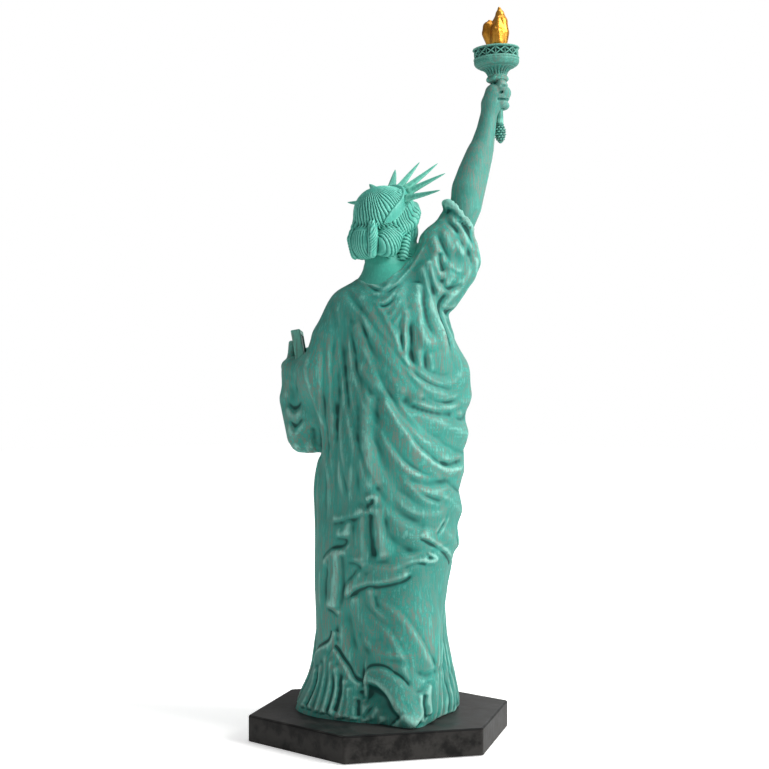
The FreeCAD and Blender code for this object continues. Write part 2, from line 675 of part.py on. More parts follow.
def make_handle():
    handle = revolve(HANDLE).fuse(smooth_revolve(COLLAR))
    handle = handle.fuse(rod(1.5, 4.0, 27.6))       # spigot into the cup
    return handle.fuse(rod(0.8, 3.2, 5.2))          # pin for the finial


def make_finial():
    finial = smooth_revolve(FINIAL)
    for k in range(FINIAL_GROOVES):
        groove = Part.makeCylinder(0.35, 9, V(2.75, 0, 0))
        turn = FreeCAD.Rotation(UP, 360 / FINIAL_GROOVES * k)
        groove.Placement = FreeCAD.Placement(V(0, 0, 0), turn)
        finial = finial.cut(groove)
    return finial.cut(rod(0.85, 3.6, 4.9))          # hole for the handle's pin


def make_cup():
    cup = revolve(CUP)
    for k in range(CUP_FLUTES):
        angle = 2 * math.pi * k / CUP_FLUTES
        cup = cup.cut(Part.makeCylinder(FLUTE_R, FLUTE_L, radial(5.0, angle, 28.6),
                                        radial(0.80, angle, 0.90)))
    cup = cup.cut(rod(1.6, 4.6, 27.4))              # handle spigot socket
    return largest(cup.cut(rod(1.6, 2.2, 33.2)))    # flame pin seat


def make_gallery():
    """Two rings joined by a thin wall with crossing struts on it."""
    lower = revolve(LOWER_RING).cut(rod(GALLERY_BORE_R, 3, 34))
    upper = revolve(UPPER_RING).cut(rod(GALLERY_BORE_R, 3, 38))
    wall = rod(8.85, 3.6, 35.3).cut(rod(GALLERY_BORE_R, 3.8, 35.2))
    gallery = lower.fuse(upper).fuse(wall)
    bay = 2 * math.pi / GALLERY_BAYS
    for k in range(GALLERY_BAYS):
        angle = 2 * math.pi * k / GALLERY_BAYS
        for side in (-1, 1):
            foot = radial(STRUT_CIRCLE_R, angle, STRUT_Z0)
            run = radial(STRUT_CIRCLE_R, angle + side * bay, STRUT_Z1) - foot
            gallery = gallery.fuse(Part.makeCylinder(STRUT_R, run.Length, foot, run))
    return gallery.cut(rod(GALLERY_BORE_R, 8, 34))


def make_flame(cup):
    """A leaning tongue with two side lobes, on a pin seated in the cup."""
    rows = []
    for z, x, y, radius, twist in FLAME:
        row = []
        for k in range(24):
            angle = 2 * math.pi * k / 24
            fluted = radius * (1 + 0.10 * math.sin(5 * angle + math.radians(twist * 2.2)))
            row.append(V(x, y, 0) + radial(fluted, angle, z))
        rows.append(row)
    flame = loft(rows)
    flame = flame.fuse(limb([V(2.2, 2.6, 38.6), V(3.4, 3.3, 43.5), V(3.1, 3.0, 48.2)],
                            [2.9, 2.0, 0.7], per=3, count=12))
    flame = flame.fuse(limb([V(-2.8, -1.6, 38.0), V(-4.0, -1.8, 42.0), V(-3.6, -1.4, 45.2)],
                            [2.4, 1.5, 0.5], per=3, count=12))
    flame = flame.fuse(rod(FLAME_PIN_R, FLAME_PIN_L, 33.4))
    return largest(flame.cut(cup))


# ---- tablet and left hand --------------------------------------------------
WRIST = shoulder(-37.8, 17.5, 149.5)
HAND_FINGERS = [(13.8, 1.75), (10.5, 1.9), (7.1, 1.85), (4.0, 1.6)]     # up the tablet, radius


def make_tablet(pin_bore):
    tablet = slab(HALF_W, HALF_H, -HALF_T, HALF_T)
    tablet = tablet.makeFillet(TABLET_EDGE_R, tablet.Edges)
    # sink the face inside its border
    tablet = tablet.cut(slab(HALF_W - TABLET_BORDER, HALF_H - TABLET_BORDER,
                             HALF_T - TABLET_RAISE, HALF_T + 1))
    return tablet.cut(pin_bore)


def make_hand(hand_bore, tablet_bore):
    """Palm behind the tablet, fingers round its outer edge."""
    palm = [shoulder(-32.5, 11.0, 148.8), WRIST, WRIST + V(3.6, -1.2, 2.6),
            on_tablet(HALF_W + 0.2, 9.0, -4.4)]
    hand = limb(palm, [4.6, 4.2, 4.0, 3.6], flat=0.8, side=TABLET_UP)
    for up, radius in HAND_FINGERS:
        points = [on_tablet(HALF_W - 1.5, up * 0.9 + 0.9, -4.2),
                  on_tablet(HALF_W + 1.8, up, -1.8),
                  on_tablet(HALF_W + 1.7, up, 1.9),
                  on_tablet(HALF_W - 2.4, up - 0.4, HALF_T + radius - 0.1),
                  on_tablet(HALF_W - 5.6, up - 0.8, HALF_T + radius - 0.5)]
        taper = [radius * 1.15, radius, radius, radius * 0.95, radius * 0.85]
        hand = hand.fuse(limb(points, taper, count=12))
    thumb = [on_tablet(HALF_W - 3.5, 12, -5.5), on_tablet(HALF_W - 6, 15, -4.2),
             on_tablet(HALF_W - 9, 17, -3.7)]
    hand = hand.fuse(limb(thumb, [2.6, 2.1, 1.6], count=12))
    hand = largest(hand.cut(slab(HALF_W + 0.02, HALF_H, -HALF_T - 0.02, HALF_T + 0.02)))
    return largest(hand.cut(hand_bore).cut(tablet_bore))


# ---- pins and their bores --------------------------------------------------
plug_socket_foot = NECK_FOOT - UP * (NECK_PLUG_H + SOCKET_END_GAP)
neck_dowel, neck_bore = pin_and_bore(
    NECK_DOWEL_R, NECK_DOWEL_L, plug_socket_foot - UP * (NECK_DOWEL_L / 2), UP, 0.5)
rod_direction = unit(ARM_PATH[1] - ARM_PATH[0])
arm_rod, rod_bore = pin_and_bore(
    ARM_ROD_R, ARM_ROD_L, ARM_PATH[0] - rod_direction * (ARM_ROD_L / 2), rod_direction, 0.4)
# upright, from the hanging sleeve into the heel of the hand
hand_pin, hand_bore = pin_and_bore(
    HAND_PIN_R, HAND_PIN_L, shoulder(-37.8, 17.5, 141.2), UP, 0.4)
# through the palm into the back of the tablet
tablet_pin, tablet_bore = pin_and_bore(
    TABLET_PIN_R, TABLET_PIN_L, on_tablet(HALF_W - 2.6, 9.0, -4.6), TABLET_OUT, 0.2)

# ---- pieces ----------------------------------------------------------------
band = make_band()
arm = make_arm(rod_bore)
hand = make_hand(hand_bore, tablet_bore)
cup = make_cup()

robe = make_robe([
    # flat seat and socket for the neck
    Part.makeBox(30, 30, 12, NECK_FOOT - V(15, 15, 0)),
    Part.makeCylinder(NECK_PLUG_R + SOCKET_CLEAR, NECK_PLUG_H + 8, plug_socket_foot),
    neck_bore,
    # socket for the right arm
    limb(ARM_PATH[:3], [r + SOCKET_CLEAR for r in ARM_RADII[:3]], caps=(False, False)),
    rod_bore,
    # room for the tablet
    slab(HALF_W + 0.3, HALF_H + 0.3, -HALF_T - 0.3, HALF_T + 0.3),
    hand_bore,
    hand,
    arm])

pieces = {
    "plinth": make_plinth(),
    "felt_pad": hexagon(FELT_R, 0, FELT_T),
    "base_screws": Part.makeCompound([base_screw(-SCREW_X), base_screw(SCREW_X)]),
    "robe_casting": robe,
    "neck_dowel": neck_dowel,
    "head_casting": make_head(neck_bore, band),
    "diadem": drill_band(band),
    "crown_rays": Part.makeCompound([make_ray(angle, band) for angle in RAY_ANGLES]),
    "right_arm_casting": largest(arm),
    "arm_rod": arm_rod,
    "left_hand_casting": hand,
    "hand_pin": hand_pin,
    "tablet": make_tablet(tablet_bore),
    "tablet_pin": tablet_pin}
for name, shape in (("torch_handle", make_handle()), ("torch_finial", make_finial()),
                    ("torch_cup", cup), ("gallery_ring", make_gallery()),
                    ("flame", make_flame(cup))):
    pieces[name] = along(shape, TORCH_FOOT, TORCH_AXIS)

for name, shape in pieces.items():
    export(shape, name)
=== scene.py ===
"""The looks of the torch-bearing figurine: carved, hand-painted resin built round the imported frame.

Everything is worked out in millimetres in the row frame (z up, front towards -Y, her right towards -X) and
written to the scene in metres. Bodies are made as distance fields, turned into closed meshes, and the cloth
is then carved stroke by stroke: ridges, valleys and stepped edges pushed along the surface's own normals.
"""
import bpy
# ---- CORE BEGIN
import numpy as np, math
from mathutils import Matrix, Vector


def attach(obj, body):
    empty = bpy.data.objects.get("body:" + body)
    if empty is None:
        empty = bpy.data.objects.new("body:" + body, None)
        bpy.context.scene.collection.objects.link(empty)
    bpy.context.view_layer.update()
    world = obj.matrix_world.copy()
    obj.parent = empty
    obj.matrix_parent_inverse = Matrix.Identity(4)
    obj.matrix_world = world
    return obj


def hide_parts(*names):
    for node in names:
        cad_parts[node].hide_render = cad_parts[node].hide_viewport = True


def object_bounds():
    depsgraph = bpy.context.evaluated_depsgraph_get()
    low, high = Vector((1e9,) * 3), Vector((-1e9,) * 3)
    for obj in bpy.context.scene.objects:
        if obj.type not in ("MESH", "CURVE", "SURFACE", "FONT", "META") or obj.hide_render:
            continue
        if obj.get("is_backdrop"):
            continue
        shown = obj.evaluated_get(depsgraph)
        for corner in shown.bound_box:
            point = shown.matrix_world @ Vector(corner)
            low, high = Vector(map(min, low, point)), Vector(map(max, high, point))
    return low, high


CAM_AZ=224.5; CAM_D=619.0; CAM_H=138.1; CAM_PITCH=0.53; CAM_F=1500.0; CAM_XO=1.45
_a=math.radians(CAM_AZ)
CAM_BACK=np.array([math.sin(_a),-math.cos(_a),0.0])
CAM_FWD=-CAM_BACK
CAM_RIGHT=np.array([CAM_FWD[1],-CAM_FWD[0],0.0])
def project(P):
    P=np.asarray(P,float)
    X=P@CAM_RIGHT-CAM_XO; Y=P@CAM_FWD+CAM_D; Z=P[...,2]-CAM_H
    c,s=math.cos(math.radians(CAM_PITCH)),math.sin(math.radians(CAM_PITCH))
    Yc=Y*c+Z*s; Zc=-Y*s+Z*c
    return np.stack([384.5+CAM_F*X/Yc,384.5-CAM_F*Zc/Yc],-1)
def unproject(px,py,t):
    """point on the vertical plane at depth t (mm beyond the axis, away from the camera)"""
    c,s=math.cos(math.radians(CAM_PITCH)),math.sin(math.radians(CAM_PITCH))
    a=(px-384.5)/CAM_F; b=(384.5-py)/CAM_F
    # dir in cam: (a,1,b) -> world: Y=1*c - b*s ; Z = 1*s + b*c
    dY=c-b*s; dZ=s+b*c; dX=a
    k=(CAM_D+t)/dY
    return CAM_RIGHT*(CAM_XO+dX*k)+CAM_FWD*t+np.array([0,0,CAM_H+dZ*k])
def smin(a,b,k):
    h=np.maximum(k-np.abs(a-b),0)/k
    return np.minimum(a,b)-h*h*k*0.25
def smax(a,b,k): return -smin(-a,-b,k)
class Grid:
    def __init__(s,lo,hi,h):
        lo,hi=np.minimum(lo,hi),np.maximum(lo,hi)
        s.lo=np.array(lo,float); s.h=h
        s.n=np.ceil((np.array(hi)-s.lo)/h).astype(int)+1
        s.d=np.full(s.n,1e3,np.float32)
        s.ax=[(s.lo[i]+h*np.arange(s.n[i])).astype(np.float32) for i in range(3)]
    def box(s,lo,hi):
        i0=np.clip(np.floor((np.array(lo)-s.lo)/s.h).astype(int),0,s.n-1)
        i1=np.clip(np.ceil((np.array(hi)-s.lo)/s.h).astype(int)+1,1,s.n)
        sl=tuple(slice(a,b) for a,b in zip(i0,i1))
        X=s.ax[0][sl[0]][:,None,None]; Y=s.ax[1][sl[1]][None,:,None]; Z=s.ax[2][sl[2]][None,None,:]
        return sl,X,Y,Z
    def add(s,f,lo,hi,k=0.0,pad=None):
        pad=(k+3*s.h) if pad is None else pad
        sl,X,Y,Z=s.box(np.array(lo)-pad,np.array(hi)+pad)
        if s.d[sl].size==0: return
        v=f(X,Y,Z)
        s.d[sl]=smin(s.d[sl],v,k) if k>0 else np.minimum(s.d[sl],v)
    def sub(s,f,lo,hi,k=0.0,pad=None):
        pad=(k+3*s.h) if pad is None else pad
        sl,X,Y,Z=s.box(np.array(lo)-pad,np.array(hi)+pad)
        if s.d[sl].size==0: return
        v=-f(X,Y,Z)
        s.d[sl]=smax(s.d[sl],v,k) if k>0 else np.maximum(s.d[sl],v)
    # primitives
    def ell(s,c,r,k=0,R=None,sub=False):
        c=np.array(c,float); r=np.array(r,float)
        m=r.max()
        def f(X,Y,Z):
            x,y,z=X-c[0],Y-c[1],Z-c[2]
            if R is not None:
                x,y,z=(R[0][0]*x+R[1][0]*y+R[2][0]*z, R[0][1]*x+R[1][1]*y+R[2][1]*z, R[0][2]*x+R[1][2]*y+R[2][2]*z)
            k0=np.sqrt((x/r[0])**2+(y/r[1])**2+(z/r[2])**2)
            k1=np.sqrt((x/r[0]**2)**2+(y/r[1]**2)**2+(z/r[2]**2)**2)
            return k0*(k0-1)/np.maximum(k1,1e-6)
        ext=np.array([m,m,m]) if R is not None else r
        (s.sub if sub else s.add)(f,c-ext,c+ext,k)
    def cone(s,a,b,ra,rb,k=0,sub=False,flat=None):
        """rounded cone from a to b"""
        a=np.array(a,float); b=np.array(b,float)
        def f(X,Y,Z):
            d=b-a; L2=float(d@d)+1e-9
            t=np.clip(((X-a[0])*d[0]+(Y-a[1])*d[1]+(Z-a[2])*d[2])/L2,0,1)
            q=np.sqrt((X-a[0]-t*d[0])**2+(Y-a[1]-t*d[1])**2+(Z-a[2]-t*d[2])**2)
            return q-(ra+(rb-ra)*t)
        m=max(ra,rb)
        (s.sub if sub else s.add)(f,np.minimum(a,b)-m,np.maximum(a,b)+m,k)
    def tube(s,pts,rad,k=0,sub=False):
        """chain of rounded cones joined first, then smoothly joined to the rest"""
        pts=[np.array(p,float) for p in pts]
        rad=list(rad) if hasattr(rad,'__len__') else [rad]*len(pts)
        A=np.array(pts); m=max(rad)+k+3*s.h
        sl,X,Y,Z=s.box(A.min(0)-m,A.max(0)+m)
        if s.d[sl].size==0: return
        v=np.full(s.d[sl].shape,1e3,np.float32)
        o=[q.start for q in sl]
        for a,b,ra,rb in zip(pts[:-1],pts[1:],rad[:-1],rad[1:]):
            mm=max(ra,rb)+k+3*s.h
            s2,x,y,z=s.box(np.minimum(a,b)-mm,np.maximum(a,b)+mm)
            loc=tuple(slice(max(q.start-o_,0),q.stop-o_) for q,o_ in zip(s2,o))
            d=b-a; L2=float(d@d)+1e-9
            t=np.clip(((x-a[0])*d[0]+(y-a[1])*d[1]+(z-a[2])*d[2])/L2,0,1)
            q=np.sqrt((x-a[0]-t*d[0])**2+(y-a[1]-t*d[1])**2+(z-a[2]-t*d[2])**2)-(ra+(rb-ra)*t)
            v[loc]=np.minimum(v[loc],q)
        if sub: s.d[sl]=smax(s.d[sl],-v,k) if k>0 else np.maximum(s.d[sl],-v)
        else: s.d[sl]=smin(s.d[sl],v,k) if k>0 else np.minimum(s.d[sl],v)
    def mesh(s):
        return surface_nets(s.d,s.lo,s.h)
def interp_table(tab,z):
    """rows z, v1, v2.. -> smooth (Catmull-like cubic) interpolation of each column at z"""
    tab=np.array(tab,float); zz=tab[:,0]; out=[]
    z=np.clip(z,zz[0],zz[-1])
    i=np.clip(np.searchsorted(zz,z,side='right')-1,0,len(zz)-2)
    h=zz[i+1]-zz[i]; t=(z-zz[i])/h
    for c in range(1,tab.shape[1]):
        v=tab[:,c]; m=np.gradient(v,zz)
        h00=2*t**3-3*t**2+1; h10=t**3-2*t**2+t; h01=-2*t**3+3*t**2; h11=t**3-t**2
        out.append(h00*v[i]+h10*h*m[i]+h01*v[i+1]+h11*h*m[i+1])
    return out
def unambiguous(d):
    """fills the checkerboard faces of the sign pattern, so that every edge of the surface has two faces"""
    for _ in range(12):
        ch=0
        for a,b in ((0,1),(1,2),(0,2)):
            def sl(i,j):
                q=[slice(None)]*3; q[a]=slice(i,d.shape[a]-1+i); q[b]=slice(j,d.shape[b]-1+j); return tuple(q)
            s=[(0,0),(1,0),(1,1),(0,1)]
            C=[d[sl(*q)] for q in s]
            for p in (0,1):
                m=(C[p]<0)&(C[p+2]<0)&(C[(p+1)%4]>=0)&(C[(p+3)%4]>=0)
                w=np.argwhere(m)
                if len(w)==0: continue
                ch+=len(w)
                x=C[(p+1)%4][m]; y=C[(p+3)%4][m]
                for which,off in ((x<=y,s[(p+1)%4]),(x>y,s[(p+3)%4])):
                    v=w[which].copy(); v[:,a]+=off[0]; v[:,b]+=off[1]
                    d[tuple(v.T)]=-1e-3
        if ch==0: break
    return d
def surface_nets(d,lo,h):
    d=unambiguous(d)
    n=d.shape
    ins=(d<0)
    # cells with sign change
    c=np.zeros(tuple(x-1 for x in n),np.uint8)
    for i in (0,1):
        for j in (0,1):
            for k in (0,1):
                c+=ins[i:n[0]-1+i,j:n[1]-1+j,k:n[2]-1+k]
    act=(c>0)&(c<8)
    idx=np.argwhere(act)
    vid=-np.ones(act.shape,np.int32); vid[act]=np.arange(len(idx))
    I,J,K=idx.T
    corners={}
    for i in (0,1):
        for j in (0,1):
            for k in (0,1): corners[(i,j,k)]=d[I+i,J+j,K+k].astype(np.float64)
    P=np.zeros((len(idx),3)); W=np.zeros(len(idx))
    edges=[]
    for a in corners:
        for ax in range(3):
            if a[ax]==0:
                b=list(a); b[ax]=1; edges.append((a,tuple(b),ax))
    for a,b,ax in edges:
        va,vb=corners[a],corners[b]
        m=(va<0)!=(vb<0)
        t=np.where(m,va/np.where(m,va-vb,1),0)
        p=np.array(a,float)[None,:].repeat(len(idx),0); p[:,ax]+=t
        P[m]+=p[m]; W[m]+=1
    P/=W[:,None]
    V=(P+idx)*h+np.array(lo)
    F=[]
    for ax in range(3):
        o=[(1,2),(2,0),(0,1)][ax]
        # grid edges along ax, with neighbours in the other two axes
        s0=[slice(None)]*3; s1=[slice(None)]*3
        s0[ax]=slice(0,n[ax]-1); s1[ax]=slice(1,n[ax])
        for q in o:
            s0[q]=slice(1,n[q]-1); s1[q]=slice(1,n[q]-1)
        A=ins[tuple(s0)]; B=ins[tuple(s1)]
        ch=np.argwhere(A!=B)
        if len(ch)==0: continue
        fl=A[tuple(ch.T)]
        base=ch.copy()
        for q in o: base[:,q]+=1
        def cell(d1,d2):
            cc=base.copy(); cc[:,o[0]]-=d1; cc[:,o[1]]-=d2
            return vid[cc[:,0],cc[:,1],cc[:,2]]
        q0,q1,q2,q3=cell(1,1),cell(0,1),cell(0,0),cell(1,0)
        f=np.stack([q0,q1,q2,q3],1)
        f[~fl]=f[~fl][:,::-1]
        F.append(f)
    F=np.concatenate(F)
    F=F[(F>=0).all(1)]
    return V,F
# ---- mesh helpers
def vnormals(V,F):
    a=V[F[:,2]]-V[F[:,0]]; b=V[F[:,3]]-V[F[:,1]]
    fn=np.cross(a,b)
    N=np.zeros_like(V)
    for k in range(4):
        for c in range(3): N[:,c]+=np.bincount(F[:,k],fn[:,c],len(V))
    return N/np.maximum(np.linalg.norm(N,axis=1,keepdims=True),1e-12)
def edges_of(F):
    E=np.concatenate([F[:,[0,1]],F[:,[1,2]],F[:,[2,3]],F[:,[3,0]]])
    E.sort(1); return np.unique(E[:,0].astype(np.int64)*(F.max()+1)+E[:,1])
def smooth(V,F,it=1,lam=0.5,mask=None,E=None):
    n=len(V)
    if E is None:
        e=edges_of(F); m=F.max()+1; E=np.stack([e//m,e%m],1)
    deg=np.bincount(E[:,0],minlength=n)+np.bincount(E[:,1],minlength=n)
    deg=np.maximum(deg,1)[:,None]
    for _ in range(it):
        S=np.stack([np.bincount(E[:,0],V[E[:,1],c],n)+np.bincount(E[:,1],V[E[:,0],c],n) for c in range(V.shape[1])],1)/deg
        dV=(S-V)*lam
        if mask is not None: dV*=mask[:,None]
        V=V+dV
    return V
def taubin(V,F,it=5,lam=0.5,mu=-0.53):
    e=edges_of(F); m=F.max()+1; E=np.stack([e//m,e%m],1)
    for _ in range(it):
        V=smooth(V,F,1,lam,E=E); V=smooth(V,F,1,mu,E=E)
    return V
def subdivide(V,F):
    """one Catmull-Clark step on a closed quad mesh"""
    n=len(V); f=len(F)
    FP=V[F].mean(1)
    E=np.concatenate([F[:,[0,1]],F[:,[1,2]],F[:,[2,3]],F[:,[3,0]]])
    Es=np.sort(E,1); key=Es[:,0].astype(np.int64)*n+Es[:,1]
    uk,inv,cnt=np.unique(key,return_inverse=True,return_counts=True)
    e0,e1=(uk//n).astype(int),(uk%n).astype(int)
    ne=len(uk)
    fid=np.tile(np.arange(f),4)
    S=np.stack([np.bincount(inv,FP[fid,c],ne) for c in range(3)],1)
    EP=(V[e0]+V[e1]+S)/(2+cnt)[:,None]
    mid=(V[e0]+V[e1])/2
    val=np.bincount(e0,minlength=n)+np.bincount(e1,minlength=n)
    val=np.maximum(val,1)
    Rm=np.stack([np.bincount(e0,mid[:,c],n)+np.bincount(e1,mid[:,c],n) for c in range(3)],1)/val[:,None]
    nf=np.bincount(F.ravel(),minlength=n)
    Qm=np.stack([np.bincount(F.ravel(),np.repeat(FP[:,c],4),n) for c in range(3)],1)/np.maximum(nf,1)[:,None]
    VP=(Qm+2*Rm+(val-3)[:,None]*V)/val[:,None]
    NV=np.concatenate([VP,EP,FP])
    ei=inv.reshape(4,f).T+n   # edge k: (k,k+1)
    fi=np.arange(f)+n+ne
    NF=np.concatenate([np.stack([F[:,k],ei[:,k],fi,ei[:,(k-1)%4]],1) for k in range(4)])
    return NV,NF

# ---- the camera's frame, used both for the picture and to place the rear folds
PSI_B=math.radians(30.0)
def UT(u,t,z): return CAM_RIGHT*u+CAM_FWD*t+np.array([0,0,z],float)
def B(r,f,z): return UT(r*math.cos(PSI_B)+f*math.sin(PSI_B), -r*math.sin(PSI_B)+f*math.cos(PSI_B), z)
_br=B(1,0,0); _bf=B(0,1,0)
ROBE=[(6.0,-2.6,0.5,33.2,32.2,2.3),(10.9,-2.5,0.5,32.6,31.6,2.3),(16,-1.5,1.0,31.8,30.2,2.3),(24,-0.5,1.5,29.2,28.0,2.25),(34,-0.5,1.5,27.2,26.2,2.2),
 (46,-1.3,1.5,26.4,25.6,2.2),(60,-1.8,1.5,26.4,25.6,2.2),(75,0.0,2.0,28.2,26.5,2.2),(90,1.4,3.0,28.9,27.0,2.2),
 (105,2.4,3.5,29.2,26.6,2.15),(120,4.0,4.0,30.2,26.0,2.1),(135,3.5,4.5,29.2,25.0,2.1),(150,2.6,5.0,27.6,23.0,2.1),
 (163,2.0,5.0,25.6,20.8,2.1),(172,2.0,4.5,23.6,18.5,2.1),(180,2.0,4.0,20.0,15.5,2.1),(187,1.5,4.0,14.0,11.5,2.0),(192,1.0,4.0,9.0,8.0,2.0)]
def robe_f(X,Y,Z):
    z=Z.ravel()
    r,f,a,b,n=[q.astype(np.float32)[None,None,:] for q in interp_table(ROBE,z)]
    R=X*_br[0]+Y*_br[1]; Fw=X*_bf[0]+Y*_bf[1]
    x=np.abs(R-r)/a; y=np.abs(Fw-f)/b
    rho=(x**n+y**n)**(1/n)
    d=(rho-1)*np.minimum(a,b)
    return np.maximum(d,np.maximum(ROBE[0][0]-Z,Z-ROBE[-1][0]))
# torch axis
P0=np.array([-29.13,-41.94,245.05]); P1=np.array([-27.65,-40.49,287.32]); AX=(P1-P0)/np.linalg.norm(P1-P0)
AXX=np.array([1.,0,0])-AX*AX[0]; AXX/=np.linalg.norm(AXX); AXY=np.cross(AX,AXX)
def tpos(s): return P0+AX*s
# tablet
TW=np.array([0.7009,-0.7133,0.0]); TL=np.array([0.1214,0.1193,0.9854]); TN=np.array([-0.7029,-0.6907,0.1702])
TC=np.array([39.1,6.2,144.8])
def tp(w,l,n): return TC+TW*w+TL*l+TN*n
HC=np.array([0.33,-3.88,211.5]); CC=np.array([-0.52,-3.31,219.2])

NECKLINE=[(-30,236),(-13.5,203),(-10.5,191.5),(-8.7,187.6),(-4.9,185.0),(-1.5,184.9),(1.7,186.6),(7.4,191.4),(12.6,197.0),(14.8,201.5),(16.5,212),(18,226),(30,245)]
def collar_cut(X,Y,Z):
    u=X*CAM_RIGHT[0]+Y*CAM_RIGHT[1]; t=X*CAM_FWD[0]+Y*CAM_FWD[1]
    nl=np.array(NECKLINE,float)
    zc=np.interp(u,nl[:,0],nl[:,1]).astype(np.float32)
    # the line dips a little more at the front
    zc=zc-0.10*np.clip(t-2,0,12)
    sl=np.interp(u,nl[:,0],np.abs(np.gradient(nl[:,1],nl[:,0]))).astype(np.float32)
    return (zc-Z)/np.sqrt(1+sl*sl)
def torso_parts(g):
    g.add(robe_f,(-70,-70,150),(70,70,200),0,pad=0)
    g.tube([UT(-12.0,3,173.6),UT(-3,3,178.8),UT(12,3,184.2),UT(22,1,189)],[9.4,7.8,8,11],k=8)
    g.tube([UT(16,2,182),UT(20,2,188),UT(27.6,3,203)],[9,11.5,9.6],k=5)
def robe_base(h):
    g=Grid((-46,-56,6),(66,50,224),h)
    g.add(robe_f,(-70,-70,5),(70,70,200),0,pad=0)
    g.tube([B(14,-2,95),B(18,-8,62),B(21,-15,36),B(23,-19,17)],[17,14,12,10],k=10)
    g.tube([B(24,-19,22),B(28,-25,12)],[7,4.5],k=6)
    g.tube([B(-11,6,100),B(-12,16,66),B(-12,15,34),B(-12,19,14)],[18,14,12,12],k=10)
    g.ell(B(6,-8,112),(22,16,22),k=10)
    g.ell(B(3,12,128),(22,16,26),k=10)
    g.ell(B(12,17,164),(10,9,10),k=7)
    g.ell(B(-7,17,164),(10,9,10),k=7)
    g.tube([UT(-12.0,3,173.6),UT(-3,3,178.8),UT(12,3,184.2),UT(22,1,189)],[9.4,7.8,8,11],k=8)
    g.tube([UT(-12.0,3,173.6),UT(-19.2,3,162),UT(-23.2,3,149)],[9.4,10.3,9.2],k=6)
    g.tube([UT(-22.3,2,148),UT(-17,0,132),UT(-14,0,120)],[9,8,6],k=8)
    g.tube([UT(-22,3,147),UT(-29,11,149.0),UT(-36,17.0,150.2)],[9,7.8,5.6],k=4)
    g.tube([UT(-35.6,17.2,149.0),UT(-36.0,18.5,138),UT(-33.0,17.5,122.8),UT(-29,15.5,121.6)],[5.8,7.6,7.4,6.5],k=5)
    g.tube([UT(-27,9,148),UT(-28,12,131)],[8,7],k=6)
    g.tube([UT(16,2,182),UT(20,2,188),UT(27.6,3,203),UT(30.6,3,210.5)],[9,11.5,9.6,7.6],k=5)
    e1=np.array(CAM_RIGHT)*0.70-np.array([0,0,0.71]); e2=np.array(CAM_FWD,float); c0=UT(32.1,3,213.6)
    g.tube([c0+6.3*(e1*math.cos(a)+e2*math.sin(a)) for a in np.arange(0,13)*math.pi/6],[2.3]*13,k=1.6)
    g.tube([UT(24,2,200),UT(32.0,1,199.5),UT(34.9,1,196)],[9.5,7.4,6.0],k=4)
    g.tube([UT(31.6,0.5,190),UT(26.0,0,181)],[6.8,5.8],k=5)
    g.tube([UT(19,-10,160),UT(27.5,-4,148),UT(28,5,140)],[8,9.4,9.4],k=6)
    # neck opening and the arm's mouth
    g.sub(collar_cut,(-40,-40,178),(40,40,232),0.8)
    a0=np.array([-22.92,-26.73,217.96]); a1=np.array([-21.6,-25.1,213.0])
    g.tube([a0+(a0-a1)*0.8,a0,a1],[7.4,7.15,6.9],k=0.8,sub=True)
    # the gown stops flush with the plinth
    g.sub(lambda X,Y,Z: Z-9.2+0*X+0*Y,(-60,-60,0),(70,60,9.2),0)
    return g

# ---------------------------------------------------------------- surface relief
class View:
    """nearest visible vertex of a mesh, seen from one side"""
    def __init__(s,V,N,fn,toward,res,margin=3.0,ext=2):
        s.fn=fn
        A=fn(V); s.A=A
        dep=-(V@toward)
        vis=(N@toward)>0.02
        q=np.floor(A/res).astype(int); s.o=q.min(0); q-=s.o; s.sh=q.max(0)+1; s.res=res
        key=q[:,0]*s.sh[1]+q[:,1]
        best=np.full(s.sh[0]*s.sh[1],1e9)
        np.minimum.at(best,key[vis],dep[vis])
        idx=-np.ones(s.sh[0]*s.sh[1],int)
        ok=np.where(vis & (dep<=best[key]+1e-6))[0]
        idx[key[ok]]=ok
        s.idx=idx.reshape(s.sh); s.dep=dep
        I=s.idx.copy()
        for _ in range(ext):
            for dx,dy in ((1,0),(-1,0),(0,1),(0,-1)):
                R=np.roll(I,(dx,dy),(0,1)); m=(I<0)&(R>=0); I[m]=R[m]
        s.I=I
    def pick(s,P):
        q=np.floor(np.asarray(P)/s.res).astype(int)-s.o
        q[:,0]=np.clip(q[:,0],0,s.sh[0]-1); q[:,1]=np.clip(q[:,1],0,s.sh[1]-1)
        i=s.I[q[:,0],q[:,1]]
        bad=np.where(i<0)[0]
        for b in bad:
            # spiral out to the nearest filled cell
            x,y=q[b]
            for r in range(2,26):
                x0,x1,y0,y1=max(x-r,0),min(x+r+1,s.sh[0]),max(y-r,0),min(y+r+1,s.sh[1])
                W=s.I[x0:x1,y0:y1]; m=np.argwhere(W>=0)
                if len(m):
                    d=((m+[x0,y0]-[x,y])**2).sum(1); k=m[d.argmin()]; i[b]=W[k[0],k[1]]; break
        return i
def dens(P,step):
    P=np.asarray(P,float)
    if len(P)==2: P=np.array([P[0],(P[0]*2+P[1])/3,(P[0]+P[1]*2)/3,P[1]])
    out=[]
    n=len(P)
    for i in range(n-1):
        p0=P[max(i-1,0)];p1=P[i];p2=P[i+1];p3=P[min(i+2,n-1)]
        m=max(2,int(np.ceil(np.linalg.norm((p2-p1)[:2])/step)))
        t=np.arange(m)/m
        t=t[:,None]
        out.append(0.5*((2*p1)+(-p0+p2)*t+(2*p0-5*p1+4*p2-p3)*t*t+(-p0+3*p1-3*p2+p3)*t**3))
    out.append(P[-1:]); return np.concatenate(out)
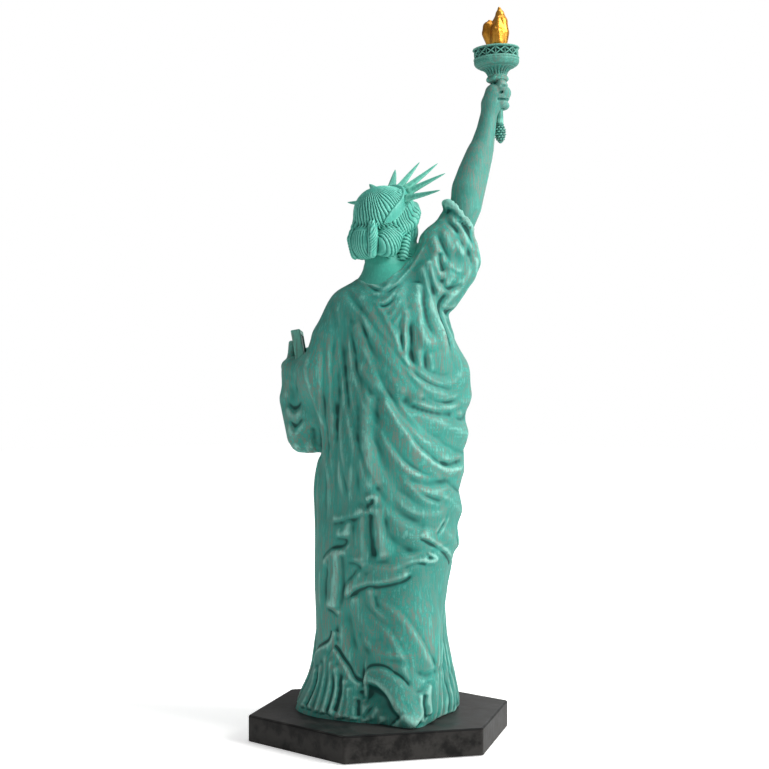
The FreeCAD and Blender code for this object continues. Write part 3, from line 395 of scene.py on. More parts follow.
class Relief:
    def __init__(s,V,F):
        s.V=V; s.F=F; s.N=vnormals(V,F)
        n=len(V)
        s.R=np.zeros(n); s.L=np.zeros(n); s.S=np.zeros(n); s.T=np.zeros((n,3)); s.bd=np.full(n,1e9)
        s.order=np.argsort(V[:,2]); s.zs=V[s.order,2]
        s.views={}
    def view(s,az):
        if az not in s.views:
            if az=='cam':
                s.views[az]=View(s.V,s.N,project,CAM_BACK,1.6)
            else:
                a=math.radians(az); bk=np.array([math.sin(a),-math.cos(a),0.]); fw=-bk; rt=np.array([fw[1],-fw[0],0.])
                s.views[az]=View(s.V,s.N,lambda P,rt=rt: np.stack([P@rt,P[...,2]],-1),bk,0.7)
        return s.views[az]
    def line(s,az,pts,smoothing=6):
        v=s.view(az)
        D=dens(pts,2.2 if az=='cam' else 0.9)
        i=v.pick(D[:,:2])
        P=s.V[i].copy(); Nn=s.N[i].copy()
        for _ in range(smoothing):
            if len(P)>3:
                P[1:-1]=(P[:-2]+2*P[1:-1]+P[2:])/4; Nn[1:-1]=(Nn[:-2]+2*Nn[1:-1]+Nn[2:])/4
        return P,Nn/np.maximum(np.linalg.norm(Nn,axis=1,keepdims=True),1e-9)
    def near(s,P,rad):
        lo,hi=P.min(0)-rad,P.max(0)+rad
        a,b=np.searchsorted(s.zs,[lo[2],hi[2]])
        c=s.order[a:b]; W=s.V[c]
        return c[((W>=lo)&(W<=hi)).all(1)]
    def dist(s,P,Nn,rad):
        c=s.near(P,rad)
        W=s.V[c].astype(np.float32); Pf=P.astype(np.float32)
        bi=np.zeros(len(c),int); bd=np.full(len(c),1e9,np.float32)
        for k0 in range(0,len(P),64):
            d=((W[:,None,:]-Pf[None,k0:k0+64])**2).sum(2)
            j=d.argmin(1); m=d[np.arange(len(c)),j]; u=m<bd; bd[u]=m[u]; bi[u]=j[u]+k0
        T=np.gradient(P,axis=0) if len(P)>2 else np.repeat((P[1:]-P[:1]),len(P),0)
        T/=np.maximum(np.linalg.norm(T,axis=1,keepdims=True),1e-9)
        rel=s.V[c]-P[bi]; al=(rel*T[bi]).sum(1)
        step=np.median(np.linalg.norm(np.diff(P,axis=0),axis=1)) if len(P)>1 else 1
        lim=np.where((bi==0)|(bi==len(P)-1),0.0,step)
        als=np.clip(al,-step*0.6,step*0.6)*(lim>0)
        q=rel-T[bi]*als[:,None]
        # ignore the height difference along the normal: distance within the surface
        q2=q-Nn[bi]*((q*Nn[bi]).sum(1)*0.6)[:,None]
        d=np.linalg.norm(q2,axis=1)
        side=np.sign((np.cross(T[bi],q)*Nn[bi]).sum(1)); side[side==0]=1
        ok=(d<rad)&((s.N[c]*Nn[bi]).sum(1)>-0.25)
        # fraction along
        fr=(bi+np.clip(al/step,-.5,.5))/max(len(P)-1,1)
        return c[ok],d[ok],side[ok],np.clip(fr[ok],0,1),T[bi[ok]]
    def flow(s,c,d,T):
        u=d<s.bd[c]; cc=c[u]; s.bd[cc]=d[u]
        t=T[u]; t=t*np.where(t[:,2:3]>0,-1,1); s.T[cc]=t
    def taper(s,fr,a,b):
        w=np.ones_like(fr)
        if a>0: x=np.clip(fr/a,0,1); w*=x*x*(3-2*x)
        if b>0: x=np.clip((1-fr)/b,0,1); w*=x*x*(3-2*x)
        return w
    def ridge(s,az,pts,h,w,w2=None,ta=0.32,tb=0.32,sharp=0,flow=True):
        """raised fold; w on the left of its direction, w2 on the right"""
        w2=w if w2 is None else w2
        w,w2,h=w*1.22,w2*1.22,h*0.84
        P,Nn=s.line(az,pts); R=max(w,w2)*2.1
        c,d,sd,fr,T=s.dist(P,Nn,max(R,9.0 if flow else R))
        if flow: s.flow(c,d,T)
        ww=np.where(sd>0,w,w2); x=d/ww; m=x<2.1
        c,x,fr=c[m],x[m],fr[m]
        xr=np.sqrt(x*x+(0.05 if sharp else 0.14))-(0.05 if sharp else 0.14)**0.5
        core=np.clip(1-xr/2.0,0,1)**(2.6 if sharp else 2.1)
        v=1.12*h*core*s.taper(fr,ta,tb)
        s.R[c]=(s.R[c]**3+v**3)**(1/3)
    def valley(s,az,pts,h,w,w2=None,ta=0.32,tb=0.32,sharp=0,flow=True):
        w2=w if w2 is None else w2
        w,w2,h=w*1.25,w2*1.25,h*0.70
        P,Nn=s.line(az,pts); R=max(w,w2)*1.9
        c,d,sd,fr,T=s.dist(P,Nn,max(R,6.0 if flow else R))
        if flow: s.flow(c,d,T)
        ww=np.where(sd>0,w,w2); x=d/ww; m=x<1.9
        c,x,fr=c[m],x[m],fr[m]
        broad=np.clip(1-(x/1.9)**2,0,1)**2
        core=np.clip(1-x*x,0,1)**2 if not sharp else np.clip(1-x,0,1)**1.5
        v=h*(0.7*core+0.3*broad)*s.taper(fr,ta,tb)
        s.L[c]=(s.L[c]**3+v**3)**(1/3)
    def edge(s,az,pts,T,side,fade=11.0,soft=0.42,under=0.5,ta=0.08,tb=0.08,flow=False):
        """a cloth edge: the layer on one side stands proud by T and fades back into the body"""
        T=0.62*T; soft=soft*1.7
        P,Nn=s.line(az,pts,8)
        c,d,sd,fr,Tt=s.dist(P,Nn,fade)
        if flow: s.flow(c,d,Tt)
        x=d*sd*side
        up=0.85*T*np.clip((x+soft)/(2*soft),0,1); 
        u=np.clip(x/fade,0,1); up=up*(1-u*u*(3-2*u))
        lip=0.10*T*np.exp(-((x-0.8)/0.8)**2)
        dn=under*0.50*np.exp(-((x+1.0)/0.85)**2)
        k=s.taper(fr,ta,tb)
        # past the ends of the line nothing stands proud
        v=(up+lip)*k
        s.S[c]=np.maximum(s.S[c],v); s.L[c]=np.maximum(s.L[c],dn*k)
    def fan(s,az,A,Bp,n,h,w,sag=0.0,jit=0.15,seed=1,ta=0.25,tb=0.05,hv=0.0,sharp=0,w2=None,mid=None):
        """n folds running from rail A to rail B"""
        rng=np.random.RandomState(seed)
        A=dens(A,1.0); Bp=dens(Bp,1.0)
        for k in range(n):
            t=(k+0.5+jit*rng.uniform(-1,1))/n
            a=A[int(t*(len(A)-1))]; b=Bp[int(np.clip(t+0.3*jit*rng.uniform(-1,1)/n,0,1)*(len(Bp)-1))]
            m=(a+b)/2+np.array([rng.uniform(-1,1)*0.5,-sag])
            if mid is not None: m=m+np.array(mid)
            q1=a*0.75+b*0.25+(m-(a+b)/2)*0.75; q3=a*0.25+b*0.75+(m-(a+b)/2)*0.75
            hh=h*(1+0.35*rng.uniform(-1,1)); w_=w*(1+0.25*rng.uniform(-1,1))
            s.ridge(az,[a,q1,m,q3,b],hh,w_,w2,ta=ta,tb=tb,sharp=sharp)
            if hv:
                o=np.array([w_*0.9,0])
                s.valley(az,[a+o,q1+o,m+o,q3+o,b+o],hv,w_*0.7,ta=ta,tb=tb)
    def total(s): return s.R+s.S-s.L
def csr(F,n):
    e=edges_of(F); m=F.max()+1; return np.stack([e//m,e%m],1).astype(np.int64)
def blur(x,E,it,n,lam=0.6):
    deg=np.bincount(E[:,0],minlength=n)+np.bincount(E[:,1],minlength=n); deg=np.maximum(deg,1)
    x=x.copy()
    for _ in range(it):
        if x.ndim==1:
            S=(np.bincount(E[:,0],x[E[:,1]],n)+np.bincount(E[:,1],x[E[:,0]],n))/deg
            x+=lam*(S-x)
        else:
            for c in range(x.shape[1]):
                S=(np.bincount(E[:,0],x[E[:,1],c],n)+np.bincount(E[:,1],x[E[:,0],c],n))/deg
                x[:,c]+=lam*(S-x[:,c])
    return x
def streaks(V,N,T,E,n,seed,K=9):
    """noise drawn out along the direction T, like a nearly dry brush"""
    rng=np.random.RandomState(seed)
    T=T-N*(T*N).sum(1,keepdims=True); T/=np.maximum(np.linalg.norm(T,axis=1,keepdims=True),1e-9)
    noise=rng.uniform(0,1,n)
    a=np.concatenate([E[:,0],E[:,1]]); b=np.concatenate([E[:,1],E[:,0]])
    dv=V[b]-V[a]; dv/=np.maximum(np.linalg.norm(dv,axis=1,keepdims=True),1e-9)
    sc=(dv*T[a]).sum(1)
    o=np.lexsort((sc,a)); a2=a[o]
    last=np.r_[np.where(a2[1:]!=a2[:-1])[0],len(a2)-1]; first=np.r_[0,last[:-1]+1]
    nxt=np.arange(n); prv=np.arange(n)
    nxt[a2[last]]=b[o][last]; prv[a2[first]]=b[o][first]
    acc=noise.copy(); f=nxt.copy(); p=prv.copy()
    for _ in range(K):
        acc+=noise[f]+noise[p]; f=nxt[f]; p=prv[p]
    acc/=2*K+1
    acc=(acc-acc.mean())/acc.std()
    return acc

def rear_folds(r):
    """folds of the back, in the picture's own coordinates"""
    Rg=lambda pts,h,w,w2=None,**k: r.ridge('cam',pts,h,w,w2,**k)
    Vl=lambda pts,h,w,w2=None,**k: r.valley('cam',pts,h,w,w2,**k)
    Ed=lambda pts,T,side,**k: r.edge('cam',pts,T,side,**k)
    # ---------------- mantle over the left shoulder and across the back
    Rg([(359,286),(363,300),(370,318),(378,333),(388,350),(400,370),(412,386),(424,400)],1.3,3.0,4.0,ta=.1,tb=.05)
    Rg([(372,297),(381,310),(390,326),(398,343),(406,360),(415,377),(424,391),(431,399)],1.0,1.7,2.2,ta=.15,tb=.05,sharp=1)
    Vl([(344,288),(351,296),(360,308),(366,318)],1.1,1.9)
    Vl([(368,317),(375,331),(384,346),(394,357),(404,371),(413,384),(424,397)],1.0,2.0)
    Rg([(352,318),(357,330),(363,342),(371,357),(379,368),(389,378),(398,386),(410,397)],1.5,2.6,3.2,ta=.1,tb=.1)
    Rg([(349,306),(355,321),(361,335)],0.6,1.4,sharp=1)
    Vl([(358,330),(364,342),(371,350),(376,362),(381,372),(389,383),(398,392)],1.3,2.3)
    Rg([(355,352),(360,363),(368,377),(377,387),(384,400)],1.5,2.8,3.2)
    Vl([(357,368),(362,380),(368,390),(373,400)],1.1,2.2)
    Rg([(346,285),(355,295),(364,309),(371,322)],0.8,2.6,3.0)
    # far left hanging mantle with long vertical folds
    Rg([(331,340),(332.5,357),(334,377),(336.5,397),(335,420)],0.9,2.4,2.6)
    Rg([(312,350),(311,368),(313,392),(319,415),(324,430)],0.8,3.2)
    Vl([(337,350),(338,378),(337.5,400),(335.5,430),(335,473),(334,500)],1.3,2.1)
    Vl([(329,296),(333,318),(334,335)],0.5,1.6)
    Vl([(340,300),(343,320),(346,345),(346,370)],0.6,1.8)
    Vl([(320,332),(323,355),(325,380),(327,405)],0.5,1.8)
    Rg([(348,350),(350,375),(351,400),(349,425),(347,450)],1.1,2.6)
    Rg([(343,380),(342.5,405),(342,437),(342,470),(345,500)],1.2,2.8)
    Vl([(358,385),(358.5,410),(357,450),(356,480),(355,512)],1.0,2.4)
    Rg([(363,368),(366,395),(367,415),(367.5,437),(369,462),(372,482),(375,493)],2.1,2.7,3.2,ta=.25,tb=.1)
    Vl([(371,395),(373,412),(374,428),(378,443),(385,458),(392,470),(398,482),(407,493),(417,503),(428,510)],2.4,3.4,4.4,ta=.15,tb=.25)
    Vl([(323.5,455),(324,480),(324.5,505),(325,530)],0.9,1.5)
    Rg([(330,440),(329,465),(329,490),(329,520)],0.8,2.0)
    Rg([(319,455),(318,480),(318,510),(317,540)],0.7,1.8)
    Rg([(349,455),(349,480),(350,505),(351,517)],0.8,2.3)
    # hanging edge on the far left
    Rg([(310,350),(306,362),(306,374),(309,387),(313,399),(317,411),(322,423),(327,436)],0.9,1.5,ta=.15,tb=.2)
    # ---------------- swags at the right hip
    Vl([(400,393),(408,403),(418,408),(430,411.5),(443,412.5),(456,411),(464,408)],1.2,1.9,2.4,ta=.15)
    Rg([(408,388),(416,399),(428,406),(443,409),(455,406),(464,399),(469,391)],1.2,1.9)
    Rg([(414,382),(424,393),(436,399),(448,399),(460,393),(467,384)],1.0,1.8)
    Vl([(418,386),(428,396),(441,402),(454,400),(464,393)],0.7,1.2)
    Rg([(412,372),(422,384),(434,390),(447,391),(458,387),(466,378)],1.1,1.9)
    Vl([(420,381),(432,389),(446,391),(458,386)],0.6,1.2)
    Rg([(410,360),(420,373),(433,381),(448,384),(459,379),(466,368)],1.0,2.0)
    Rg([(438,397),(442,402),(444,406)],0.5,1.0,sharp=1,flow=False)
    Rg([(449,417),(458,414),(465,410)],0.9,2.0)
    # long bright crease round the hip
    Rg([(381,393),(390,410),(398,423),(407,435),(415,447),(422,454),(430,460),(438,466.5),(448,470),(459,467.5),(467,460)],1.9,1.7,4.2,ta=.12,tb=.1,sharp=1)
    Vl([(437,461),(446,464),(457,462),(465,457)],1.1,1.6,ta=.3)
    Rg([(391,396),(401,410),(409,423),(417,433),(428,442)],0.9,1.8,2.6)
    Rg([(401,405),(409,418),(418,430),(431,440)],0.8,1.7,2.2)
    Rg([(446,430),(449,445),(447,456)],0.5,6.0)
    # lower swags
    Vl([(399,472),(408,477.5),(418,480.5),(433,482),(447,480.5),(460,477)],1.2,2.0,2.6,ta=.25)
    Rg([(400,478),(409,486),(421,491.5),(437,492),(451,486),(459,480)],1.0,2.4)
    Rg([(390,487),(398,497),(408,507),(421,514),(436,514),(447,506),(456,494)],1.1,2.6)
    Vl([(388,497),(396,508),(405,516),(416,520),(428,520)],1.0,2.2)
    Rg([(384,505),(392,520),(403,531),(416,536),(430,533),(441,522)],1.1,2.8)
    Vl([(385,526),(391,537),(401,545),(411,550),(423,551)],1.1,2.2)
    Rg([(433,511),(442,502),(450,493),(457,486)],0.8,1.5,sharp=1)
    Rg([(437,513),(447,503),(457,492)],0.6,1.2,sharp=1)
    Rg([(432.5,537),(438,529),(443.5,521),(447,513)],0.9,1.3,sharp=1)
    Rg([(436,538.5),(442,531),(448,520),(451,511)],0.8,1.2,sharp=1)
    Vl([(434.5,536.5),(440,529),(446,519)],0.6,0.8,flow=False)
    Rg([(450,500),(453,520),(453,545),(450,560)],0.6,3.5)
    # the curled fold and the deep pleat below it
    Rg([(366,500.5),(369,496.5),(373,495),(376,498),(376,503),(372,507.5),(367.5,510.5)],1.7,1.5,1.5,ta=.05,tb=.1,sharp=1,flow=False)
    Vl([(371,500.5),(373,502),(370,506),(366,508.5)],1.5,1.2,ta=.1,tb=.1,flow=False)
    Rg([(363.5,508),(362.5,525),(362,545),(364,563)],1.5,2.3,2.3,ta=.1,tb=.1)
    Vl([(369,512),(368.5,530),(371,546),(376,560)],2.3,2.2,2.6,ta=.08,tb=.15)
    Rg([(377,505),(378.5,520),(380,533),(382,546),(384,561)],1.9,2.0,2.6,ta=.1,tb=.15)
    Rg([(374,512),(376,530),(379,548)],0.5,1.1,sharp=1)
    Vl([(384.5,515),(386,531),(389,545)],0.8,1.6)
    # ---------------- stepped, zig-zag ends of the mantle
    Ed([(331,520.5),(340,520),(347,518.8),(357,516.8),(364,508)],1.4,1,fade=7,under=0.9)
    Ed([(333,535),(342,536.4),(350,538),(348.5,543),(342,549.2),(336,548.6),(329,552),(323.5,557),(321.5,563)],1.5,1,fade=8,under=1.0)
    Rg([(348.5,519),(347.5,528),(346.5,535)],1.2,1.6,ta=.05,tb=.05)
    Vl([(352,520),(352.5,534),(353,552)],0.9,1.6)
    Rg([(357,518),(356.5,535),(357,555)],0.7,1.6)
    Vl([(346,556),(352,560)],0.5,1.2,flow=False)
    Rg([(338,549),(336.5,567),(335,590),(334,608)],1.8,2.3,2.6,ta=.05,tb=.08)
    Vl([(341,552),(341,572),(341,592),(338,612)],1.3,1.6,ta=.08,tb=.1)
    Vl([(327,557),(325,575),(324.5,595),(326,606)],1.0,1.4,ta=.1)
    Ed([(326,607),(330,608.3),(335,611.5),(338,617)],1.5,1,fade=7,under=0.9)
    Rg([(320,562),(319,580),(319,598),(321,612)],0.8,1.4)
    Ed([(347,560),(354,560.8),(360,563.5),(362.5,569)],1.2,1,fade=5,under=0.9)
    Ed([(361,568),(357,573.5),(351,580),(345,588),(343,594),(345,598.5),(352,591.5),(354,588.8),(362,587),(370,584.4),(381,584.4),(392,581.4),(401,579.2),(407,576.2),(412,571.5)],1.7,1,fade=9,under=1.1)
    Vl([(349,584),(352,578),(357,574)],0.7,1.3,flow=False)
    # curled tip at the right end of that edge
    Ed([(392,572),(401,566.5),(410,562.4),(420,560),(428,560.6)],1.0,1,fade=6,under=0.8)
    Rg([(418,559.5),(427,561),(434,560.8),(438,558.6),(433.5,555.4),(426,551.5)],1.3,1.1,ta=.1,tb=.1,sharp=1,flow=False)
    Vl([(428,557.5),(433,558)],0.9,1.0,flow=False)
    Vl([(441,556),(449,559),(456,560)],0.5,1.5)
    # ---------------- gown below the mantle
    Rg([(369.3,587),(370.5,598),(374,609),(381,617),(391,622)],1.0,1.6,2.2,ta=.05,tb=.3,sharp=1)
    Vl([(373,592),(375,602),(380,610)],0.7,1.8,flow=False)
    Rg([(353.6,596),(356.5,608),(362,620),(371,631),(384,638)],1.2,2.3,2.6,ta=.05)
    Vl([(348,604),(349,622),(352,640),(357,655)],1.2,2.2)
    Vl([(387,602.5),(391,604),(397,605.5)],0.5,1.1)
    Rg([(341,618),(342,636),(346,652),(353,666)],1.0,2.2)
    Vl([(336,620),(337,634),(338,645)],0.9,1.8)
    Rg([(360,628),(367,642),(378,651),(392,655)],0.9,2.6)
    Vl([(356,628),(362,645),(372,656)],0.8,2.0)
    Rg([(388,636),(397,640),(401,645)],0.7,2.4)
    Rg([(378,655),(392,654),(405,656)],0.6,2.0)
    Vl([(372,660),(388,659),(403,662),(414,666)],0.6,1.8)
    Rg([(426,600),(430,625),(432,650),(430,668)],0.5,5.0)
    Vl([(441,585),(441,605),(444,625)],0.5,2.2)
    # hem of that layer
    Ed([(332.5,629),(331,638),(328,643),(319.5,647),(313,653),(312.5,660)],1.6,1,fade=7,under=1.0)
    Ed([(332,645),(339,654.3),(343.6,661.4),(348,668.8),(352,677),(356.5,681.5),(362,683.4)],1.8,-1,fade=8,under=1.2)
    Vl([(409,668),(418,672),(428,676),(437,670),(447,661)],0.9,1.8)
    Vl([(411,690),(420,692),(427,686),(433,677)],0.7,1.6)
    # thrown-up fold over the trailing heel
    Vl([(363,680),(363,675),(366.5,668.5),(372,664.5),(381,665),(389.3,669.5),(399.3,675.5),(406.4,681.4),(411,689)],1.3,1.5,1.1,ta=.03,tb=.12,sharp=1)
    Rg([(362.5,680.5),(371,680.5),(378,684),(385,690.8),(391,699),(397,709.5),(404,717),(411,722.6),(417,727)],2.4,4.6,1.5,ta=.04,tb=.04)
    Rg([(362.5,681.4),(370.7,682),(377.9,685.7),(385,692.9),(390.7,701.4),(396.4,711.4),(403.6,718.6),(410.7,724.3)],0.9,1.2,1.0,ta=.03,tb=.05,sharp=1)
    Vl([(364,690),(372,691),(379,696),(384,704),(389,713),(396,722)],3.4,4.2,4.2,ta=.08,tb=.08)
    Vl([(376.4,695),(373.6,704.3),(367.9,710),(362,719)],0.9,1.2,ta=.1,tb=.1)
    Vl([(360.5,689),(362,695),(363.8,699)],1.1,1.3,ta=.1,tb=.1)
    Vl([(357,699),(357.6,707),(358,716)],1.1,1.2,ta=.1,tb=.05)
    Rg([(370,720),(374,712),(378,706)],0.8,1.4)
    Rg([(352,690),(353,703),(352,719)],0.9,2.0,tb=.02)
    Rg([(365,701),(364,711),(366,721)],0.9,1.7,tb=.02)
    Rg([(380,714),(381,723)],0.7,1.6,tb=.02)
    Rg([(385,668),(394,678),(401,688),(407,700),(413,712),(420,722)],0.6,1.5,sharp=1)
    Rg([(380,672),(390,683),(397,694),(403,705),(411,716)],0.5,1.3,sharp=1)
    Vl([(402,700),(408,708),(411,716)],0.5,1.3)
    Vl([(425.7,694),(425.5,703),(426,712),(428,719)],1.3,1.3,ta=.1,tb=.02)
    # pleats at the left of the hem
    for k,(a,b,c_) in enumerate([((316,664),(312,685),(301,706)),((321,660),(318,682),(308,708)),((326,650),(324,680),(316,711)),
                                ((331,655),(330,682),(322,713)),((336,662),(335,688),(329,715)),((344,676),(343,695),(338,717)),((348,684),(348,700),(345,718))]):
        Rg([a,b,c_],1.3,1.7,1.6,ta=.2,tb=.02)
    Vl([(340,668),(340.5,684),(338,698),(334,711)],1.5,1.7,tb=.05)
    Vl([(333.5,670),(333,690),(326,712)],1.0,1.2,tb=.05)
    Vl([(318.5,668),(315,688),(304,707)],0.9,1.1,tb=.05)
    # pleats at the right of the hem
    for k,(a,b,c_) in enumerate([((431,680),(430,697),(431,714)),((435.5,675),(435.5,695),(436.5,712)),((440,668),(440.5,690),(442,710)),
                                ((444.5,664),(445.5,686),(448,707)),((448.5,660),(450.5,682),(454,704)),((451,655),(454,678),(459,701)),((422,690),(421,705),(421,722))]):
        Rg([a,b,c_],1.0,1.5,1.4,ta=.25,tb=.02)
    # ---------------- the long sweeps from the left shoulder to the right hip
    for q_,hh,ww in (([(346,290),(357,309),(369,328),(383,347),(398,364),(414,378),(432,389),(450,394),(466,393)],1.15,2.3),
                     ([(352,300),(358,325),(366,351),(374,374),(385,396),(399,417),(416,435),(436,446),(456,450)],1.05,2.4),
                     ([(344,310),(348,340),(353,371),(360,396),(370,421),(384,444),(401,464),(420,477),(440,482),(460,476)],1.15,2.5),
                     ([(338,318),(339,350),(342,384),(347,416),(354,446),(364,474),(379,501),(396,519),(415,529),(436,530),(455,524)],1.1,2.6),
                     ([(330,330),(329,370),(331,410),(335,450),(341,488),(350,520)],0.9,2.1),
                     ([(320,345),(319,385),(321,425),(325,465),(330,500)],0.8,2.0),
                     ([(372,414),(382,440),(394,468),(409,488),(427,501),(446,506),(460,504)],0.9,2.2),
                     ([(352,556),(372,566),(394,567),(416,561),(438,551),(456,540)],0.9,2.2),
                     ([(356,604),(374,620),(392,640),(404,664),(410,690)],0.8,2.2),
                     ([(372,596),(394,612),(414,634),(430,662),(440,694)],0.8,2.2)):
        Rg(q_,hh,ww,ta=.16,tb=.22)
        Vl([(a_+3.6,b_-3.4) for a_,b_ in q_],hh*0.75,ww*0.62,ta=.2,tb=.25,flow=False)
    # ---------------- neckline folds and the right shoulder
    Rg([(364,272),(368,280),(374,285.5),(382,288),(391,285.5),(400,279),(410,268),(419,254),(425,243)],0.55,0.9,ta=.1,tb=.1,sharp=1,flow=False)
    Vl([(364,278),(369,286),(376,290.5),(384,291.5),(393,288.5),(402,281)],0.4,0.9,ta=.2,tb=.2,flow=False)
    Rg([(366,288),(370,292.5),(375,294.5),(382,291),(390,283),(396,274)],0.8,1.3,1.6)
    Rg([(367,294),(373,301),(380,304),(387,301),(395,292),(402,281)],0.9,1.5,1.7)
    Rg([(372,303),(379,309.5),(386,309),(394,301),(402,290),(407,278)],0.9,1.5,1.7)
    Vl([(374,300),(382,307),(390,303),(398,293)],0.7,1.1)
    Rg([(380,313),(386,318),(392,314),(399,303),(405,291)],0.9,1.5)
    Rg([(386,323),(391,327),(396,321),(402,310),(407,297)],0.8,1.5)
    Rg([(392,334),(396,337),(400,330),(404,317)],0.7,1.4)
    Rg([(406,305),(407,325),(406.5,345),(404,362)],1.2,1.7,ta=.15)
    Vl([(402,316),(401,333),(403,350),(407,362)],1.1,1.5)
    Vl([(411,318),(410,338),(412,355),(419,368)],1.9,1.7,2.0)
    Rg([(413,285),(414,310),(415,335),(417,352)],0.8,1.8)
    Rg([(418.5,280),(419,302),(420,320),(422.5,334),(428,341.5),(436,343),(444,341)],1.5,1.8,2.1,ta=.1)
    Vl([(425,283),(425,298),(426.5,313),(430,326),(436,333),(443,335)],1.3,1.9)
    Rg([(420,262),(424,272),(428,285),(430.5,299),(434,312),(439,320),(445,325)],1.4,1.7,2.0,ta=.12)
    Vl([(427,268),(431,284),(435,295),(441,300)],1.1,1.5)
    Rg([(428,258),(431,271),(435,283),(440,292),(447,298)],1.3,1.6,1.9,ta=.12)
    Vl([(435,262),(437,272),(440,283),(445,292)],1.0,1.4)
    Rg([(433,250),(436,262),(438,274),(440,282)],1.1,1.7)
    Vl([(425,346),(426,356),(427,366),(431,374)],0.9,1.6,ta=.45,tb=.45)
    Rg([(421,344),(420,358),(423,372)],0.7,1.5)
    Rg([(432,350),(432,362),(434,374)],0.7,1.9)
    Rg([(440,346),(441,362),(446,376)],0.6,2.4)
    Vl([(449,350),(456,362),(460,375)],0.5,2.0)
    # ---------------- the pushed-up sleeve
    Rg([(439.8,206),(443,201.5),(447.5,199.3),(452,202),(458,210),(464,218),(470,225),(476,236),(482,249),(482,257)],1.5,2.0,2.4,ta=.05,tb=.1)
    Vl([(442,214),(449,209),(456,214),(462,222),(468,230),(473,240),(476,250)],1.7,1.5,ta=.1,tb=.2)
    Rg([(445,210),(453,218),(460,227),(466,236),(470,246)],1.1,1.6)
    Vl([(441,219),(449,223),(456,228),(462,236)],1.3,1.5)
    Rg([(437,216),(444,221),(451,229),(457,238)],0.9,1.5)
    Vl([(435.5,227),(438.5,237),(442.5,246),(447.5,254.5),(451,263)],1.4,1.6)
    Rg([(442,226),(447,236),(452,246),(458,255)],1.2,1.7)
    Rg([(455,236),(457.5,245),(462.5,251.5),(468,258)],1.1,1.4)
    Vl([(459,235),(463,243),(467,251),(472,262)],0.9,1.2)
    Vl([(467.5,241),(470,251),(473,261),(476,268)],1.3,1.5)
    Rg([(433,232),(436,243),(441,255),(445,266)],1.0,1.8)
    Vl([(440,250),(441,261),(443.5,272)],2.2,1.6,1.6,ta=.12,tb=.12)
    Rg([(449,259),(452.5,267.5),(459,271.5),(468,270.5)],1.0,1.4)
    Vl([(450,266),(455,273),(463,275.5)],0.7,1.0)
    Rg([(448.5,268),(453,275),(460,277),(466,275)],0.9,1.3)
    Rg([(449,276),(455,280.5),(463,280)],0.8,1.2)
    Vl([(442.5,277),(444,285),(449,290.5),(457.5,287),(464,284)],1.7,1.5,ta=.12,tb=.2)
    Rg([(438.5,279),(441.5,287.5),(449,294),(457.5,292),(464,288)],1.2,1.4)
    Rg([(434,300),(444,306),(454,307),(462,303)],0.9,1.7)
    Vl([(437,306),(446,312),(458,311)],0.6,1.2)
    Rg([(436,311),(443,317.5),(451,318),(457,315)],0.9,1.5)
    # ---------------- far sleeve hanging from the left forearm
    Rg([(284,405),(290,415),(297,416),(303,405)],1.0,1.9)
    Vl([(286,400),(291,408),(297,408),(301,399)],0.8,1.3)
    Rg([(286,420),(292,434),(299,432),(305,418)],1.1,1.9)
    Vl([(288,417),(293,427),(299,425),(303,414)],0.8,1.3)
    Rg([(291,440),(300,450),(309,449),(314,438)],1.0,1.9)
    Rg([(289,375),(286,390),(287,400)],0.8,2.0)
    Vl([(296,365),(294,382),(296,398)],0.7,1.6)
    Vl([(311,425),(314,437),(316,450)],1.0,1.6)

